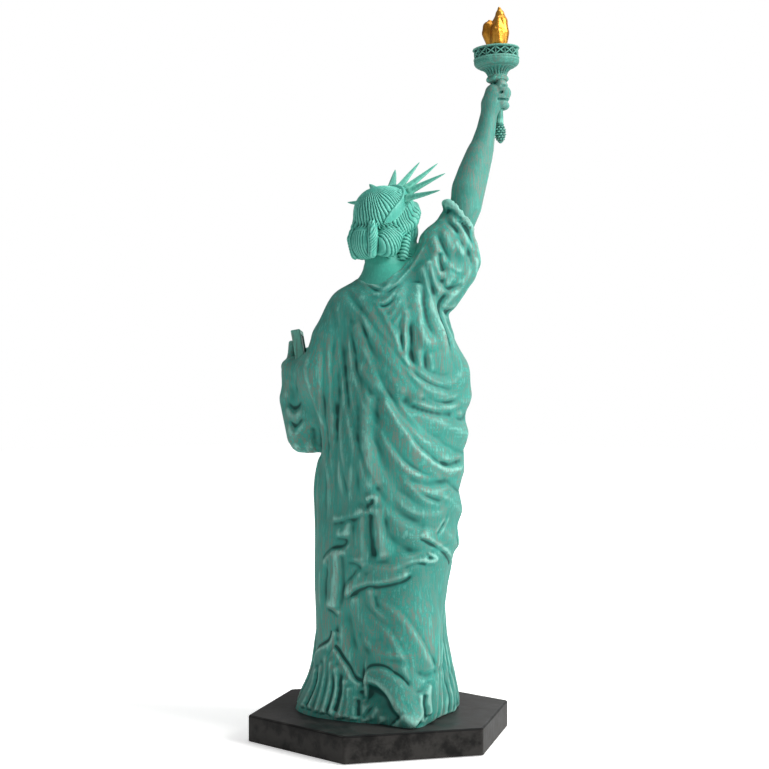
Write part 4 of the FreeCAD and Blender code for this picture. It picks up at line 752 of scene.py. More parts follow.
def front_folds(r):
    """the sides that the picture doesn't show, designed to continue the same cloth"""
    # ---- hem pleats all round the front, from knee height down
    r.fan(0,[(-27,52),(-10,50),(4,48),(17,50),(26,52)],[(-31,11),(-12,11),(4,11),(20,11),(33,11)],15,1.5,2.1,hv=0.8,seed=3,ta=.35,tb=.01)
    r.fan(300,[(-20,50),(0,48),(20,46)],[(-24,11),(0,11),(22,11)],10,1.3,1.9,hv=0.7,seed=4,ta=.35,tb=.01)
    r.fan(90,[(-18,52),(0,50),(16,48)],[(-22,11),(0,11),(20,11)],9,1.3,1.9,hv=0.7,seed=5,ta=.35,tb=.01)
    # ---- mantle: from the left shoulder across the chest and belly to the right hip
    r.ridge(0,[(15,184),(6,170),(-6,156),(-17,146),(-27,139)],1.6,2.6,3.2)
    r.ridge(0,[(18,181),(10,164),(-3,149),(-16,139),(-28,133)],1.8,2.6,3.4)
    r.valley(0,[(17,176),(8,160),(-5,146),(-18,137),(-27,131)],1.0,1.8)
    r.ridge(0,[(20,176),(14,158),(1,141),(-13,130),(-27,125)],1.7,2.8,3.6)
    r.valley(0,[(19,168),(12,152),(-1,137),(-14,127),(-26,121)],1.0,1.9)
    r.ridge(0,[(22,168),(17,150),(6,133),(-8,120),(-24,115)],1.8,3.0,3.8)
    r.valley(0,[(21,158),(15,142),(4,127),(-10,115),(-24,110)],1.1,2.0)
    r.ridge(0,[(23,158),(19,140),(10,123),(-4,109),(-20,103)],1.8,3.2,4.0)
    r.valley(0,[(22,146),(17,130),(7,115),(-7,103),(-22,98)],1.1,2.1)
    r.ridge(0,[(24,144),(21,126),(13,108),(0,95),(-18,89)],1.8,3.2,4.0)
    r.valley(0,[(23,132),(19,116),(10,101),(-4,89),(-20,83)],1.1,2.1)
    r.ridge(0,[(25,128),(23,110),(16,92),(4,79),(-14,73)],1.7,3.2,4.0)
    r.valley(0,[(24,116),(21,100),(13,85),(0,74),(-16,68)],1.0,2.1)
    # lower edge of the mantle, falling from the right hip to the left shin
    r.edge(0,[(-28,84),(-22,76),(-14,70),(-4,64),(6,57),(15,50),(22,46),(27,44)],1.8,1,fade=11,under=1.2)
    # zig-zag end hanging from the left forearm
    r.ridge(0,[(24,150),(25,125),(25,100),(24,76)],1.8,2.4)
    r.ridge(0,[(28,142),(28.5,120),(28,98)],1.5,2.0)
    r.valley(0,[(26.6,146),(27,122),(26.6,96)],1.6,1.5)
    # ---- gown at the chest: soft U folds below the neck, then gathered folds under the breast
    r.ridge(0,[(-9,187),(-4,181),(2,179),(8,182)],0.9,1.5)
    r.ridge(0,[(-12,184),(-5,175),(2,172.5),(9,177)],1.0,1.7)
    r.valley(0,[(-10.5,185),(-4.5,178),(2,175.8),(8.5,179)],0.6,1.1)
    r.ridge(0,[(-15,181),(-8,170),(0,166.5),(7,171)],1.1,1.8)
    r.valley(0,[(-13,182),(-6,172.3),(1,169.6),(8,174)],0.6,1.2)
    r.fan(0,[(-21,172),(-14,168),(-8,163)],[(-25,144),(-20,147),(-13,152)],4,1.1,1.8,hv=0.5,seed=8,ta=.25,tb=.2)
    # ---- knee of the left leg pressing through, folds falling either side
    r.fan(0,[(-24,78),(-18,72),(-12,67)],[(-28,13),(-20,13),(-13,13)],4,1.6,2.3,hv=0.9,seed=9,ta=.2,tb=.01)
    r.ridge(0,[(2,62),(4,44),(3,26),(1,12)],1.4,2.4,ta=.2,tb=.02)
    r.valley(0,[(-3,60),(-2,44),(-3,28),(-4,12)],1.4,2.2,ta=.2,tb=.02)
    r.valley(0,[(10,56),(11,40),(11,26),(10,12)],1.2,2.0,ta=.2,tb=.02)
    # ---- her right side (from the front quarter): swags round the hip, long lines below
    r.ridge(300,[(-26,148),(-12,140),(4,137),(18,142)],1.3,2.6)
    r.ridge(300,[(-26,136),(-12,127),(4,124),(18,130)],1.5,3.0)
    r.valley(300,[(-25,142),(-12,133),(4,130),(18,136)],0.8,1.8)
    r.ridge(300,[(-25,122),(-11,112),(5,108),(18,114)],1.5,3.2)
    r.valley(300,[(-25,129),(-12,119),(4,116),(18,121)],0.8,1.9)
    r.ridge(300,[(-24,106),(-10,96),(6,92),(18,97)],1.4,3.2)
    r.valley(300,[(-24,114),(-10,104),(6,100),(18,105)],0.8,1.9)
    r.ridge(300,[(-23,92),(-9,82),(6,78),(18,82)],1.3,3.0)
    r.edge(300,[(-24,84),(-14,77),(-4,71.5)],1.3,1,fade=8,under=0.9)
    # under the raised sleeve
    r.ridge(300,[(6,196),(2,184),(-2,168),(-4,152)],1.2,2.0)
    r.ridge(300,[(0,194),(-4,180),(-8,164),(-11,150)],1.2,2.0)
    r.valley(300,[(3,194),(-1,182),(-5,166),(-8,152)],1.0,1.5)
    r.ridge(300,[(11,196),(9,182),(6,166),(4,150)],1.1,1.9)
    # sleeve folds seen from the front
    r.ridge(330,[(-10,203),(-4,198),(2,190),(5,180)],1.2,1.7)
    r.ridge(330,[(-14,198),(-8,191),(-3,182)],1.1,1.7)
    r.valley(330,[(-12,201),(-6,194),(-1,185)],0.9,1.3)
    r.ridge(0,[(-26,209),(-22,200),(-17,190),(-14,180)],1.1,1.9)
    r.ridge(0,[(-30,205),(-27,195),(-22,186),(-17,178)],1.2,1.9)
    r.valley(0,[(-28,207),(-24,197),(-19,187)],0.9,1.4)
    r.ridge(0,[(-33,198),(-29,190),(-24,183)],1.0,1.7)
    # ---- her left side: mantle over the arm, long falls, two stepped layers
    r.fan(90,[(-12,176),(-2,180),(8,176)],[(-14,150),(-3,146),(8,146)],4,1.1,2.0,hv=0.5,seed=12,ta=.2,tb=.2)
    r.fan(90,[(-20,118),(-8,120),(4,122),(14,124)],[(-20,58),(-8,56),(4,54),(15,52)],7,1.6,2.3,hv=1.0,seed=13,ta=.2,tb=.1)
    r.edge(90,[(-24,62),(-17,56),(-12,60),(-6,52),(0,57),(6,48),(12,52)],1.6,1,fade=9,under=1.1)
    r.edge(90,[(-20,92),(-14,86),(-9,89),(-4,80)],1.4,1,fade=8,under=1.0)
    # hanging sleeve of the left arm
    r.ridge(90,[(-8,150),(-7,138),(-5,127)],1.0,1.6)
    r.ridge(90,[(-2,150),(-2,137),(-3,124)],1.1,1.7)
    r.ridge(90,[(4,148),(2.5,136),(1,124)],1.0,1.6)
    r.valley(90,[(-5,149),(-4.5,137),(-4,125)],0.9,1.2)
    r.valley(90,[(1,149),(0.5,137),(-1,124)],0.9,1.2)
    r.ridge(0,[(34,148),(35,136),(34,124)],1.0,1.6)
    r.ridge(0,[(39,149),(40,137),(38,125)],1.0,1.6)
    r.valley(0,[(36.5,149),(37.5,137),(36,125)],0.9,1.2)

def robe_mesh(h=1.1,sub=1):
    g=robe_base(h)
    V,F=g.mesh()
    V=taubin(V,F,4)
    for _ in range(sub): V,F=subdivide(V,F)
    V=taubin(V,F,2)
    n=len(V); E=csr(F,n)
    r=Relief(V,F)
    rear_folds(r); front_folds(r)
    D=r.total()
    D=blur(D,E,2,n,0.6)-0.40
    # where many small folds crowd together the cloth is modelled softly
    u=V@CAM_RIGHT; t=V@CAM_FWD; z=V[:,2]
    sm=lambda x: np.clip(x,0,1)**2*(3-2*np.clip(x,0,1))
    m1=sm((u+26)/4)*sm((12-u)/5)*sm((z-44)/5)*sm((102-z)/5)*sm((2-t)/4)
    m2=sm((u-15)/4)*sm((z-176)/5)*sm((222-z)/4)
    D1=blur(D,E,9,n,0.6); D=D+(D1-D)*np.maximum(0.85*m1,0.55*m2)
    # keep the seat on the plinth true
    z=V[:,2]
    k=np.clip((z-10.95)/1.6,0,1)
    N=r.N
    W=V+N*D[:,None]
    W[:,2]=np.where(z<12.5,V[:,2],W[:,2])
    W[:,2]=np.maximum(W[:,2],10.93)
    # directions for the brush
    far=r.bd>9
    T=r.T.copy(); T[far]=[0,0,-1]
    T=blur(T,E,6,n,0.6)
    return W,F,D,T,E,r

# ---------------------------------------------------------------- head, neck and hair
def Hd(r,f,z): return HC+np.array([-r,-f,z],float)
def head_rel(P): q=P-HC; return -q[:,0],-q[:,1],q[:,2]
def sup_ell(c,R,n,k):
    c=np.array(c,float)
    def f(X,Y,Z):
        x=np.abs(X-c[0])/R[0]; y=np.abs(Y-c[1])/R[1]; z=np.abs(Z-c[2])/R[2]
        rho=(x**n+y**n+z**n)**(1/n)
        return (rho-1)*min(R)
    return f
def head_mesh(h=0.5):
    g=Grid(HC+[-19,-24,-38],HC+[19,26,18],h)
    # skull under the hair
    c=Hd(0,-1,2); g.add(sup_ell(c,(11.3,14.1,12.5),2.2,0),c-15,c+15,0)
    # face
    g.ell(Hd(0,5.0,-3.2),(8.7,9.0,12.0),k=2)
    g.ell(Hd(0,6.0,-9.6),(6.7,6.9,6.0),k=2.5)
    g.ell(Hd(0,11.0,-13.2),(2.7,2.2,2.1),k=1.8)
    for s in (-1,1):
        g.ell(Hd(4.9*s,8.8,-4.6),(3.0,3.2,3.6),k=2)
        g.tube([Hd(1.2*s,13.0,2.9),Hd(3.8*s,12.5,3.5),Hd(6.6*s,10.0,2.6)],[0.95,1.05,0.8],k=1.4)
        g.ell(Hd(3.7*s,14.0,0.6),(2.5,2.5,1.55),k=1.3,sub=True)
        g.ell(Hd(3.6*s,11.5,0.35),(1.95,1.75,1.25),k=0.25)
        g.tube([Hd(1.9*s,12.6,0.5),Hd(2.9*s,13.2,1.25),Hd(4.1*s,13.05,1.3),Hd(5.5*s,11.9,0.5)],[0.3,0.38,0.38,0.3],k=0.3)
        g.tube([Hd(1.9*s,12.5,0.3),Hd(3.1*s,12.95,-0.6),Hd(4.4*s,12.6,-0.6),Hd(5.4*s,11.8,0.2)],[0.25,0.3,0.3,0.25],k=0.3)
    g.tube([Hd(0,13.2,3.0),Hd(0,14.3,0.0),Hd(0,15.9,-3.9),Hd(0,15.7,-4.7)],[0.95,0.85,1.15,1.0],k=1.1)
    for s in (-1,1): g.ell(Hd(1.45*s,14.2,-4.9),(0.95,1.2,0.85),k=0.8)
    g.tube([Hd(-2.5,12.7,-8.3),Hd(-1.0,13.9,-7.7),Hd(0,14.0,-7.95),Hd(1.0,13.9,-7.7),Hd(2.5,12.7,-8.3)],[0.35,0.62,0.55,0.62,0.35],k=0.7)
    g.tube([Hd(-2.0,12.7,-9.1),Hd(0,13.75,-9.45),Hd(2.0,12.7,-9.1)],[0.45,0.8,0.45],k=0.6)
    g.tube([Hd(-2.6,13.2,-8.5),Hd(0,14.9,-8.55),Hd(2.6,13.2,-8.5)],[0.22,0.28,0.22],k=0.4,sub=True)
    g.ell(Hd(0,13.6,-11.2),(1.8,1.0,0.7),k=1.0,sub=True)
    # neck, set into the collar, and the slope of the right shoulder
    g.tube([Hd(0,-1.0,-5),(0.9,-3.2,202.0),(1.9,-2.4,191.4),(2.0,-2.2,184.6)],[6.6,6.9,7.4,8.3],k=2.5)
    g.tube([UT(2.5,3,190.5),UT(8.5,3.6,193.5),UT(13,4,196.5)],[6.4,5.8,4.6],k=5)
    g2=Grid(g.lo,g.lo+(g.n-1)*h,h); g2.d=g2.d[:g.n[0],:g.n[1],:g.n[2]]
    if g2.d.shape!=g.d.shape: g2=Grid(g.lo,g.lo+(g.n-1.5)*h,h)
    torso_parts(g2)
    X=g2.ax[0][:,None,None]; Y=g2.ax[1][None,:,None]; Z=g2.ax[2][None,None,:]
    u=X*CAM_RIGHT[0]+Y*CAM_RIGHT[1]
    lim=np.maximum(180.5-Z+0*X+0*Y,np.hypot(X-1.9,Y+2.4)-15.6+0*Z)
    v=smax(g2.d+0.75,lim.astype(np.float32),1.5)
    g.d=smin(g.d,v,3.0)
    # hair: parted waves over the temples, swept to the back
    for s in (-1,1):
        g.tube([Hd(0.5*s,12.6,8.2),Hd(4.6*s,11.6,7.0),Hd(8.2*s,8.4,3.6),Hd(9.9*s,4.6,-0.6),Hd(9.7*s,0.4,-3.4),Hd(8.4*s,-4.4,-5.2)],[1.5,2.0,2.5,2.6,2.5,2.3],k=1.1)
        g.tube([Hd(9.0*s,-1.0,-3.5),Hd(8.4*s,-6.0,-8.5),Hd(6.2*s,-9.5,-12.5)],[3.2,3.6,2.8],k=1.2)
    # coil of hair at the nape
    c=Hd(0,-12.2,-9.2); g.ell(c,(6.6,5.6,7.2),k=0.8)
    for s in (-1,1):
        g.tube([Hd(4.9*s,-13.2,-2.6),Hd(5.9*s,-14.4,-8.0),Hd(5.0*s,-13.6,-14.6)],[1.8,2.2,1.8],k=0.35)
        g.ell(Hd(8.0*s,-7.2,-9.4),(4.3,5.6,6.4),k=0.7)
    # ringlets beside the neck
    for s in (-1,1):
        g.tube([Hd(9.0*s,1.6,-1.0),Hd(9.2*s,1.3,-7.5),Hd(8.6*s,0.8,-14.6)],[2.0,2.15,1.9],k=0.4)
    V,F=g.mesh()
    V=taubin(V,F,2)
    V,F=subdivide(V,F)
    V=taubin(V,F,1)
    n=len(V); N=vnormals(V,F)
    r,f,z=head_rel(V)
    D=np.zeros(n); T=np.zeros((n,3)); T[:,2]=1
    def smooth01(x): x=np.clip(x,0,1); return x*x*(3-2*x)
    # strands falling from the crown of the head
    ax=np.array([0,-0.475,0.88]); ax/=np.linalg.norm(ax)
    p=np.stack([r,f+3,z],1); al=p@ax; e1=np.array([1.,0,0]); e2=np.cross(ax,e1)
    ph=np.arctan2(p@e2,p@e1); rad=np.hypot(p@e1,p@e2)
    wob=ph+0.05*np.sin(5*ph+rad*0.5)+0.012*np.sin(11*ph+al)
    NS=46
    x=(wob*NS/(2*np.pi))%1.0
    strand=1-(2*x-1)**2
    cap=smooth01((z+6.3+0.12*f)/1.2)*smooth01((9.6-f)/1.5)
    fade=smooth01((rad-1.0)/3.5)
    amp=0.56
    D+=cap*fade*amp*(strand-0.62)
    # coil: strands curve round it
    coil=np.exp(-np.clip(((r/7.2)**2+((f+12.5)/6.6)**2+((z+9.5)/8.0)**2)-0.9,0,9)*6)*smooth01((-4.4-z)/1.2)
    ar=np.abs(r)
    ribbon=np.exp(-((ar-5.4)/1.7)**4)*smooth01((-12.2-f)/1.2)*smooth01((-2.0-z)/0.8)
    top=smooth01((z+5.4)/0.7)
    xs=np.where(z>-5.4,(z/1.15)%1.0,((r+0.10*r*np.abs(z+9.5)*0.2)/1.15+0.5)%1.0); st2=(1-(2*xs-1)**2)+0.9*top
    xr=((ar-5.4+0.03*(z+9)**2)/1.35+0.5)%1.0; st3=1-(2*xr-1)**2
    roll=smooth01((1.25-np.sqrt(((ar-8.0)/4.6)**2+((f+7.2)/5.9)**2+((z+9.4)/6.8)**2))/0.15)*(1-ribbon)*smooth01((ar-3.0)/1.5)
    # strands of the side rolls fan out from their upper inner end
    aa=np.arctan2((z-1.5),(f+15.0)); xq=(aa*30/np.pi+0.06*z)%1.0; st4=1-(2*xq-1)**2
    D+=coil*(1-ribbon)*(1-roll)*0.42*(st2-0.6)+ribbon*0.34*(st3-0.6)+roll*0.50*(st4-0.6)
    # waves at the temples
    side=smooth01((np.abs(r)-2.0)/2.0)*smooth01((f-3.0)/2.0)*smooth01((z-0.145*(14.2-f)-0.2)/0.6)*(1-cap)
    band=smooth01(1.4-np.abs(z-(7.6-0.95*np.clip(np.abs(r)-3.5,0,9)**1.0))/2.4)
    xf=((z+0.6*np.abs(r)+0.35*np.sin(f*1.3))/1.15)%1.0
    D+=0.26*band*smooth01((f-2.0)/1.5)*smooth01((z+0.5)/1.0)*((1-(2*xf-1)**2)-0.6)
    # side sweep between cap and coil
    sweep=smooth01((3.5-f)/2)*smooth01((-3.0-z-0.15*f)/1.2)*smooth01((z+15.0)/2.0)*(1-coil)*(1-roll)*smooth01((np.abs(r)-4.5)/1.2)
    xw=((z*0.8-0.75*f*0.6+0.05*f*f*0.5)/1.2)%1.0
    D+=0.30*sweep*((1-(2*xw-1)**2)-0.6)
    # ringlets: stacked turns
    ring=np.exp(-np.clip(np.hypot(np.abs(r)-9.0,f-1.2)-2.6,0,9)*3)*smooth01((-1.2-z)/1.0)*smooth01((z+17)/1.0)
    xt=((z+0.35*(f-1.2)*np.sign(r))/1.45)%1.0
    D=D*(1-ring)+ring*0.42*((1-(2*xt-1)**2)-0.5)
    # cross-combed lock in front of the leaf
    lk=smooth01((3.6-np.sqrt((ar-8.6)**2+(f-1.6)**2+(z-10.4)**2))/0.8)
    xl=((0.7*f+0.72*z)/1.1)%1.0
    D=D*(1-lk)+lk*(0.35+0.42*((1-(2*xl-1)**2)-0.5))
    # no strands on skin
    skin=smooth01((f-8.6)/1.0)*smooth01((7.2-0.42*np.abs(r)-z)/0.8)*smooth01((8.3-np.abs(r))/0.6)
    low=smooth01((-16.4-z)/0.8)
    D*=(1-skin)*(1-low)
    E=csr(F,n)
    D=blur(D,E,1,n,0.35)
    W=V+N*D[:,None]
    # diadem: a flat band hugging the head, its ends drawn down behind the temples as leaves
    tau=math.radians(44.3); HRv=np.array([-1.,0,0]); CDv=np.array([0,-math.cos(tau),math.sin(tau)]); CNv=np.cross(HRv,CDv); CNv=CNv if CNv[2]>0 else -CNv
    hb=0.42
    gb=Grid(HC+[-16,-19,-8],HC+[16,19,17],hb)
    c=Hd(0,-1,2); gb.add(sup_ell(c,(11.3,14.1,12.5),2.2,0),c-18,c+18,0,pad=0)
    for s_ in (-1,1):
        gb.tube([Hd(0.5*s_,12.6,8.2),Hd(4.6*s_,11.6,7.0),Hd(8.2*s_,8.4,3.6)],[1.5,2.0,2.5],k=1.1)
    X=gb.ax[0][:,None,None]-CC[0]; Y=gb.ax[1][None,:,None]-CC[1]; Z=gb.ax[2][None,None,:]-CC[2]
    a_=X*HRv[0]+Y*HRv[1]+Z*HRv[2]; b_=X*CDv[0]+Y*CDv[1]+Z*CDv[2]; n_=X*CNv[0]+Y*CNv[1]+Z*CNv[2]
    fi=np.abs(np.arctan2(a_,b_)); fd=np.degrees(fi)
    w=np.interp(fd,[0,40,80,100,118,134,146,152],[2.9,2.6,2.1,1.9,2.2,2.0,1.0,0.05]).astype(np.float32)
    th=np.interp(fd,[0,60,100,150],[1.5,1.3,1.0,0.9]).astype(np.float32)
    shell=np.maximum(gb.d-th,-(gb.d+0.5))
    band=np.maximum(shell,np.abs(n_)-w)
    band=np.maximum(band,(fd-152)*0.15)
    gb.d=band.astype(np.float32)
    V2,F2=gb.mesh(); V2=taubin(V2,F2,2); V2,F2=subdivide(V2,F2); V2=taubin(V2,F2,1)
    return W,F,D,T,E,(V2,F2)

# ---------------------------------------------------------------- right arm and fist
def arm_mesh(h=0.42):
    A=[(-20.6,-24.0,209.0),(-22.92,-26.73,217.96),(-24.78,-29.96,231.83),(-26.38,-32.94,241.99),(-27.37,-34.61,250.01),(-27.9,-35.7,256.4),(-28.3,-37.0,261.0),(-28.7,-38.0,265.8)]
    R=[6.5,6.7,6.2,5.1,4.0,3.5,4.1,3.7]
    g=Grid((-38,-50,201),(-12,-14,274),h)
    g.tube(A,R,k=0)
    # forearm muscle
    g.tube([np.array([-22.6,-27.6,224.0]),np.array([-25.3,-32.0,238.0])],[5.0,3.8],k=3)
    g.tube([np.array([-23.6,-26.6,226.0]),np.array([-26.0,-31.0,240.0])],[5.0,3.6],k=3)
    hr=1.75
    def ring(a,s,rr): 
        a=math.radians(a); return tpos(s)+(AXX*math.cos(a)+AXY*math.sin(a))*rr
    for s0,r0 in ((16.0,1.48),(18.9,1.56),(21.8,1.54),(24.4,1.36)):
        pts=[ring(a,s0+0.3*math.sin(math.radians(a)),hr+r0-0.1+(1.3 if a<190 else 0)*max(0,(190-a)/40)) for a in range(150,371,20)]
        rr=[r0*(1.0+0.07*math.cos(i*1.15)) for i in range(len(pts))]; rr[-1]*=0.8
        g.tube(pts,rr,k=0.10)
    # back of the hand to the knuckles
    g.tube([np.array([-28.3,-37.0,261.0]),ring(165,20.3,4.4)],[4.1,2.9],k=1.2)
    g.tube([ring(150,16.6,4.2),ring(150,24.0,4.0)],[2.0,1.9],k=1.0)
    for s0 in (17.45,20.35,23.15):
        g.tube([ring(a,s0,4.75+1.3*max(0,(190-a)/40)) for a in range(130,371,15)],[0.62]*17,k=0.3,sub=True)
    # thumb
    g.tube([tpos(17.5)+AXX*1.5+AXY*4.6,tpos(19.5)+AXX*3.2+AXY*2.4,tpos(22.5)+AXX*3.6-AXY*.4,tpos(24.8)+AXX*3.1-AXY*2.4],[2.2,1.9,1.7,1.35],k=0.6)
    V,F=g.mesh(); V=taubin(V,F,1); V,F=subdivide(V,F); V=taubin(V,F,1)
    n=len(V); E=csr(F,n)
    return V,F,np.zeros(n),np.tile([0.15,0.1,1.0],(n,1)),E
def lhand_mesh(h=0.5):
    W0=UT(-37.8,17.5,149.5); W1=UT(-33.5,12,148.8)
    hw=13.0
    P=tp(hw+0.2,9,-4.4)
    lo=np.minimum(W1,tp(hw+6,16,-8))-10; hi=np.maximum(W0,tp(hw+8,0,8))+10
    lo=np.minimum(lo,np.minimum(W0,tp(-2,0,0))-8); hi=np.maximum(hi,np.maximum(W1,tp(hw+6,22,8))+8)
    g=Grid(lo,hi,h)
    g.tube([W1,W0,UT(-39.2,21.0,151.6),tp(hw-5.5,8.6,-4.9)],[4.0,3.5,3.5,3.2],k=1.5)
    g.tube([tp(hw-6.5,8.6,-4.9),tp(hw+0.4,12.6,-3.7)],[3.0,1.9],k=1.6)
    g.tube([tp(hw-6.5,8.6,-4.9),tp(hw+0.4,8.8,-4.0)],[3.0,2.2],k=1.6)
    g.tube([tp(hw-6.5,8.6,-4.9),tp(hw+0.4,5.2,-3.7)],[3.0,1.9],k=1.6)
    for l0,r0 in ((13.8,1.45),(10.5,1.6),(7.1,1.6),(4.0,1.4)):
        pts=[tp(hw+0.9,l0,-3.7),tp(hw+r0+1.15,l0+0.1,-1.2),tp(hw+r0+1.1,l0+0.2,1.4),tp(hw-1.2,l0+0.2,1.95+r0*0.85),tp(hw-4.6,l0+0.1,1.9+r0*0.7)]
        g.tube(pts,[r0,r0*1.02,r0,r0*0.95,r0*0.72],k=0.5)
    g.tube([tp(hw-11.0,9.5,-4.9),tp(hw-9.5,14.0,-3.9),tp(hw-7.6,18.0,-3.5)],[2.2,1.7,1.25],k=1.0)
    # the tablet's slab is kept clear
    def slab(X,Y,Z):
        x,y,z=X-TC[0],Y-TC[1],Z-TC[2]
        a=np.abs(x*TW[0]+y*TW[1]+z*TW[2])-13.08; b=np.abs(x*TL[0]+y*TL[1]+z*TL[2])-22.58; c=np.abs(x*TN[0]+y*TN[1]+z*TN[2])-2.02
        return np.maximum(np.maximum(a,b),c)
    g.sub(slab,lo,hi,0)
    V,F=g.mesh(); V=taubin(V,F,1); V,F=subdivide(V,F); V=taubin(V,F,1)
    n=len(V); E=csr(F,n)
    return V,F,np.zeros(n),np.tile([0.7,0.5,0.2],(n,1)),E

# ---------------------------------------------------------------- turned parts of the torch
def lathe(prof,nseg,mod=None):
    """closed ring mesh round the torch axis; prof is an outline (s, r) that starts and ends at the axis"""
    m=len(prof); th=np.arange(nseg)*2*np.pi/nseg
    rings=[]; V=[]; 
    for i,(s,r) in enumerate(prof):
        if r<1e-6: V.append(tpos(s)[None]); rings.append(None); continue
        ss=np.full(nseg,float(s)); rr=np.full(nseg,float(r))
        if mod is not None: ss,rr=mod(i,ss,rr,th)
        V.append(P0+AX*ss[:,None]+(AXX*np.cos(th)[:,None]+AXY*np.sin(th)[:,None])*rr[:,None]); rings.append(True)
    off=np.cumsum([0]+[len(v) for v in V]); V=np.concatenate(V)
    F=[]
    k=np.arange(nseg); k1=(k+1)%nseg
    for i in range(m-1):
        a,b=off[i],off[i+1]
        if rings[i] and rings[i+1]: F.append(np.stack([a+k,b+k,b+k1,a+k1],1))
        elif rings[i] and not rings[i+1]: F.append(np.stack([a+k,np.full(nseg,b),a+k1,a+k1],1))
        elif rings[i+1]: F.append(np.stack([np.full(nseg,a),b+k,b+k1,b+k1],1))
    F=np.concatenate(F)
    N=vnormals(V,F)
    # outward
    c=V-(P0+AX*((V-P0)@AX)[:,None])
    if (N*c).sum()>0: return V,F
    return V,F[:,::-1]
def fine(prof,step):
    out=[prof[0]]
    for a,b in zip(prof[:-1],prof[1:]):
        L=math.hypot(b[0]-a[0],b[1]-a[1]); m=max(1,int(math.ceil(L/step)))
        for j in range(1,m+1): out.append((a[0]+(b[0]-a[0])*j/m,a[1]+(b[1]-a[1])*j/m))
    return out
def cup_mesh():
    prof=fine([(28.25,0),(28.25,4.0),(28.8,4.1),(29.6,4.4),(30.4,5.0),(31.1,5.9),(31.6,7.0),(31.75,7.5),(31.95,7.6),(32.3,8.4),(32.8,9.0),(33.4,9.35),(34.1,9.5),(34.75,9.45),(34.75,0)],0.2)
    def mod(i,s,r,th):
        if 28.5<s[0]<31.7 and r[0]>3.9:
            a=(s[0]-28.5)/3.2; k=math.sin(math.pi*min(max(a,0),1))**0.5
            x=(th*22/(2*np.pi))%1.0
            r=r+0.60*k*((1-(2*x-1)**2)-0.7)
        return s,r
    return lathe(prof,288,mod)
def gallery_mesh():
    # floor, wall with a pierced lattice worked in relief, moulded lip, and the inner wall
    prof=fine([(34.85,0),(34.85,9.4),(35.3,9.65),(35.75,9.55),(35.95,9.05),(39.05,9.05),(39.15,9.4),(39.5,9.85),(39.85,9.65),(40.0,9.2),(39.8,8.4),(39.2,7.7),(37.0,7.5),(35.6,7.4),(35.4,6.9),(35.4,0)],0.16)
    nb=14
    def mod(i,s,r,th):
        s0=s[0]
        if 35.9<s0<39.1 and r[0]>8.6:
            v=(s0-36.0)/(39.0-36.0)
            x=(th*nb/(2*np.pi))%1.0
            d=np.minimum(np.abs(x-v),np.abs(x-(1-v)))
            bar=np.clip(1-d/0.15,0,1)**0.6
            post=np.clip(1-np.minimum(x,1-x)/0.09,0,1)**0.6
            r=r-0.62+0.98*np.maximum(bar,0.8*post)
        elif 39.2<s0<39.95 and r[0]>9.0:
            x=(th*42/(2*np.pi))%1.0
            r=r+0.10*((1-(2*x-1)**2)-0.5)
        return s,r
    return lathe(prof,504,mod)
def flame_mesh(h=0.36):
    b=tpos(35.3)
    def q(u,t,z): return np.array([b[0],b[1],0])+CAM_RIGHT*u+CAM_FWD*t+np.array([0,0,z])
    def pz(y): return 143.8+(384.5-y)/2.423*1.0
    bz=b[2]; s=0.407
    g=Grid(np.array([b[0]-14,b[1]-14,bz-5]),np.array([b[0]+14,b[1]+14,bz+27]),h)
    cx=496.0
    def U(px): return (px-cx)/2.376
    def Z(py): return bz+(59.6-py)/2.376
    g.tube([q(0,0,bz+0.6),q(0.2,0,bz+5.0)],[3.6,3.7],k=0)
    # main body: two leaning cones meeting at a tip
    g.tube([q(U(498),0,Z(44)),q(U(499),0.2,Z(33)),q(U(500),0.3,Z(22)),q(U(499.6),0.2,Z(14)),q(U(498.8),0,Z(7.9))],[3.6,4.0,3.2,1.9,0.6],k=1.2)
    # lobe at the left
    g.tube([q(U(492),0.4,Z(42)),q(U(488.6),0.6,Z(33)),q(U(488.2),0.4,Z(27)),q(U(489.3),0.2,Z(21.8))],[2.8,3.0,2.4,0.95],k=0.9)
    # lobe towards the front, lobe towards the back
    g.tube([q(U(498),2.0,Z(42)),q(U(499.5),2.6,Z(32)),q(U(498.5),2.2,Z(20))],[2.6,2.3,0.6],k=0.9)
    g.tube([q(U(496),-2.0,Z(42)),q(U(495.5),-2.8,Z(33)),q(U(497.5),-2.2,Z(19))],[2.6,2.3,0.6],k=0.9)
    g.tube([q(U(501),-0.6,Z(42)),q(U(503.4),-0.6,Z(33)),q(U(502.2),-0.2,Z(18))],[2.2,1.9,0.6],k=0.9)
    V,F=g.mesh(); V=taubin(V,F,4); V,F=subdivide(V,F); V=taubin(V,F,4)
    n=len(V); N=vnormals(V,F)
    # carved licks, twisting slightly as they rise
    th=np.arctan2(V[:,1]-b[1],V[:,0]-b[0]); zz=V[:,2]-bz
    x=((th*7/(2*np.pi))+zz*0.05+0.16*np.sin(zz*0.4))%1.0
    D=0.17*((1-(2*x-1)**2)-0.6)*np.clip(zz/2.5,0,1)*np.clip((21.5-zz)/8,0.25,1)
    E=csr(F,n); D=blur(D,E,1,n,0.4)
    W=V+N*D[:,None]
    W[:,2]=np.maximum(W[:,2],tpos(35.42)[2]-0.02)
    return W,F,D,np.tile([0,0,1.0],(n,1)),E
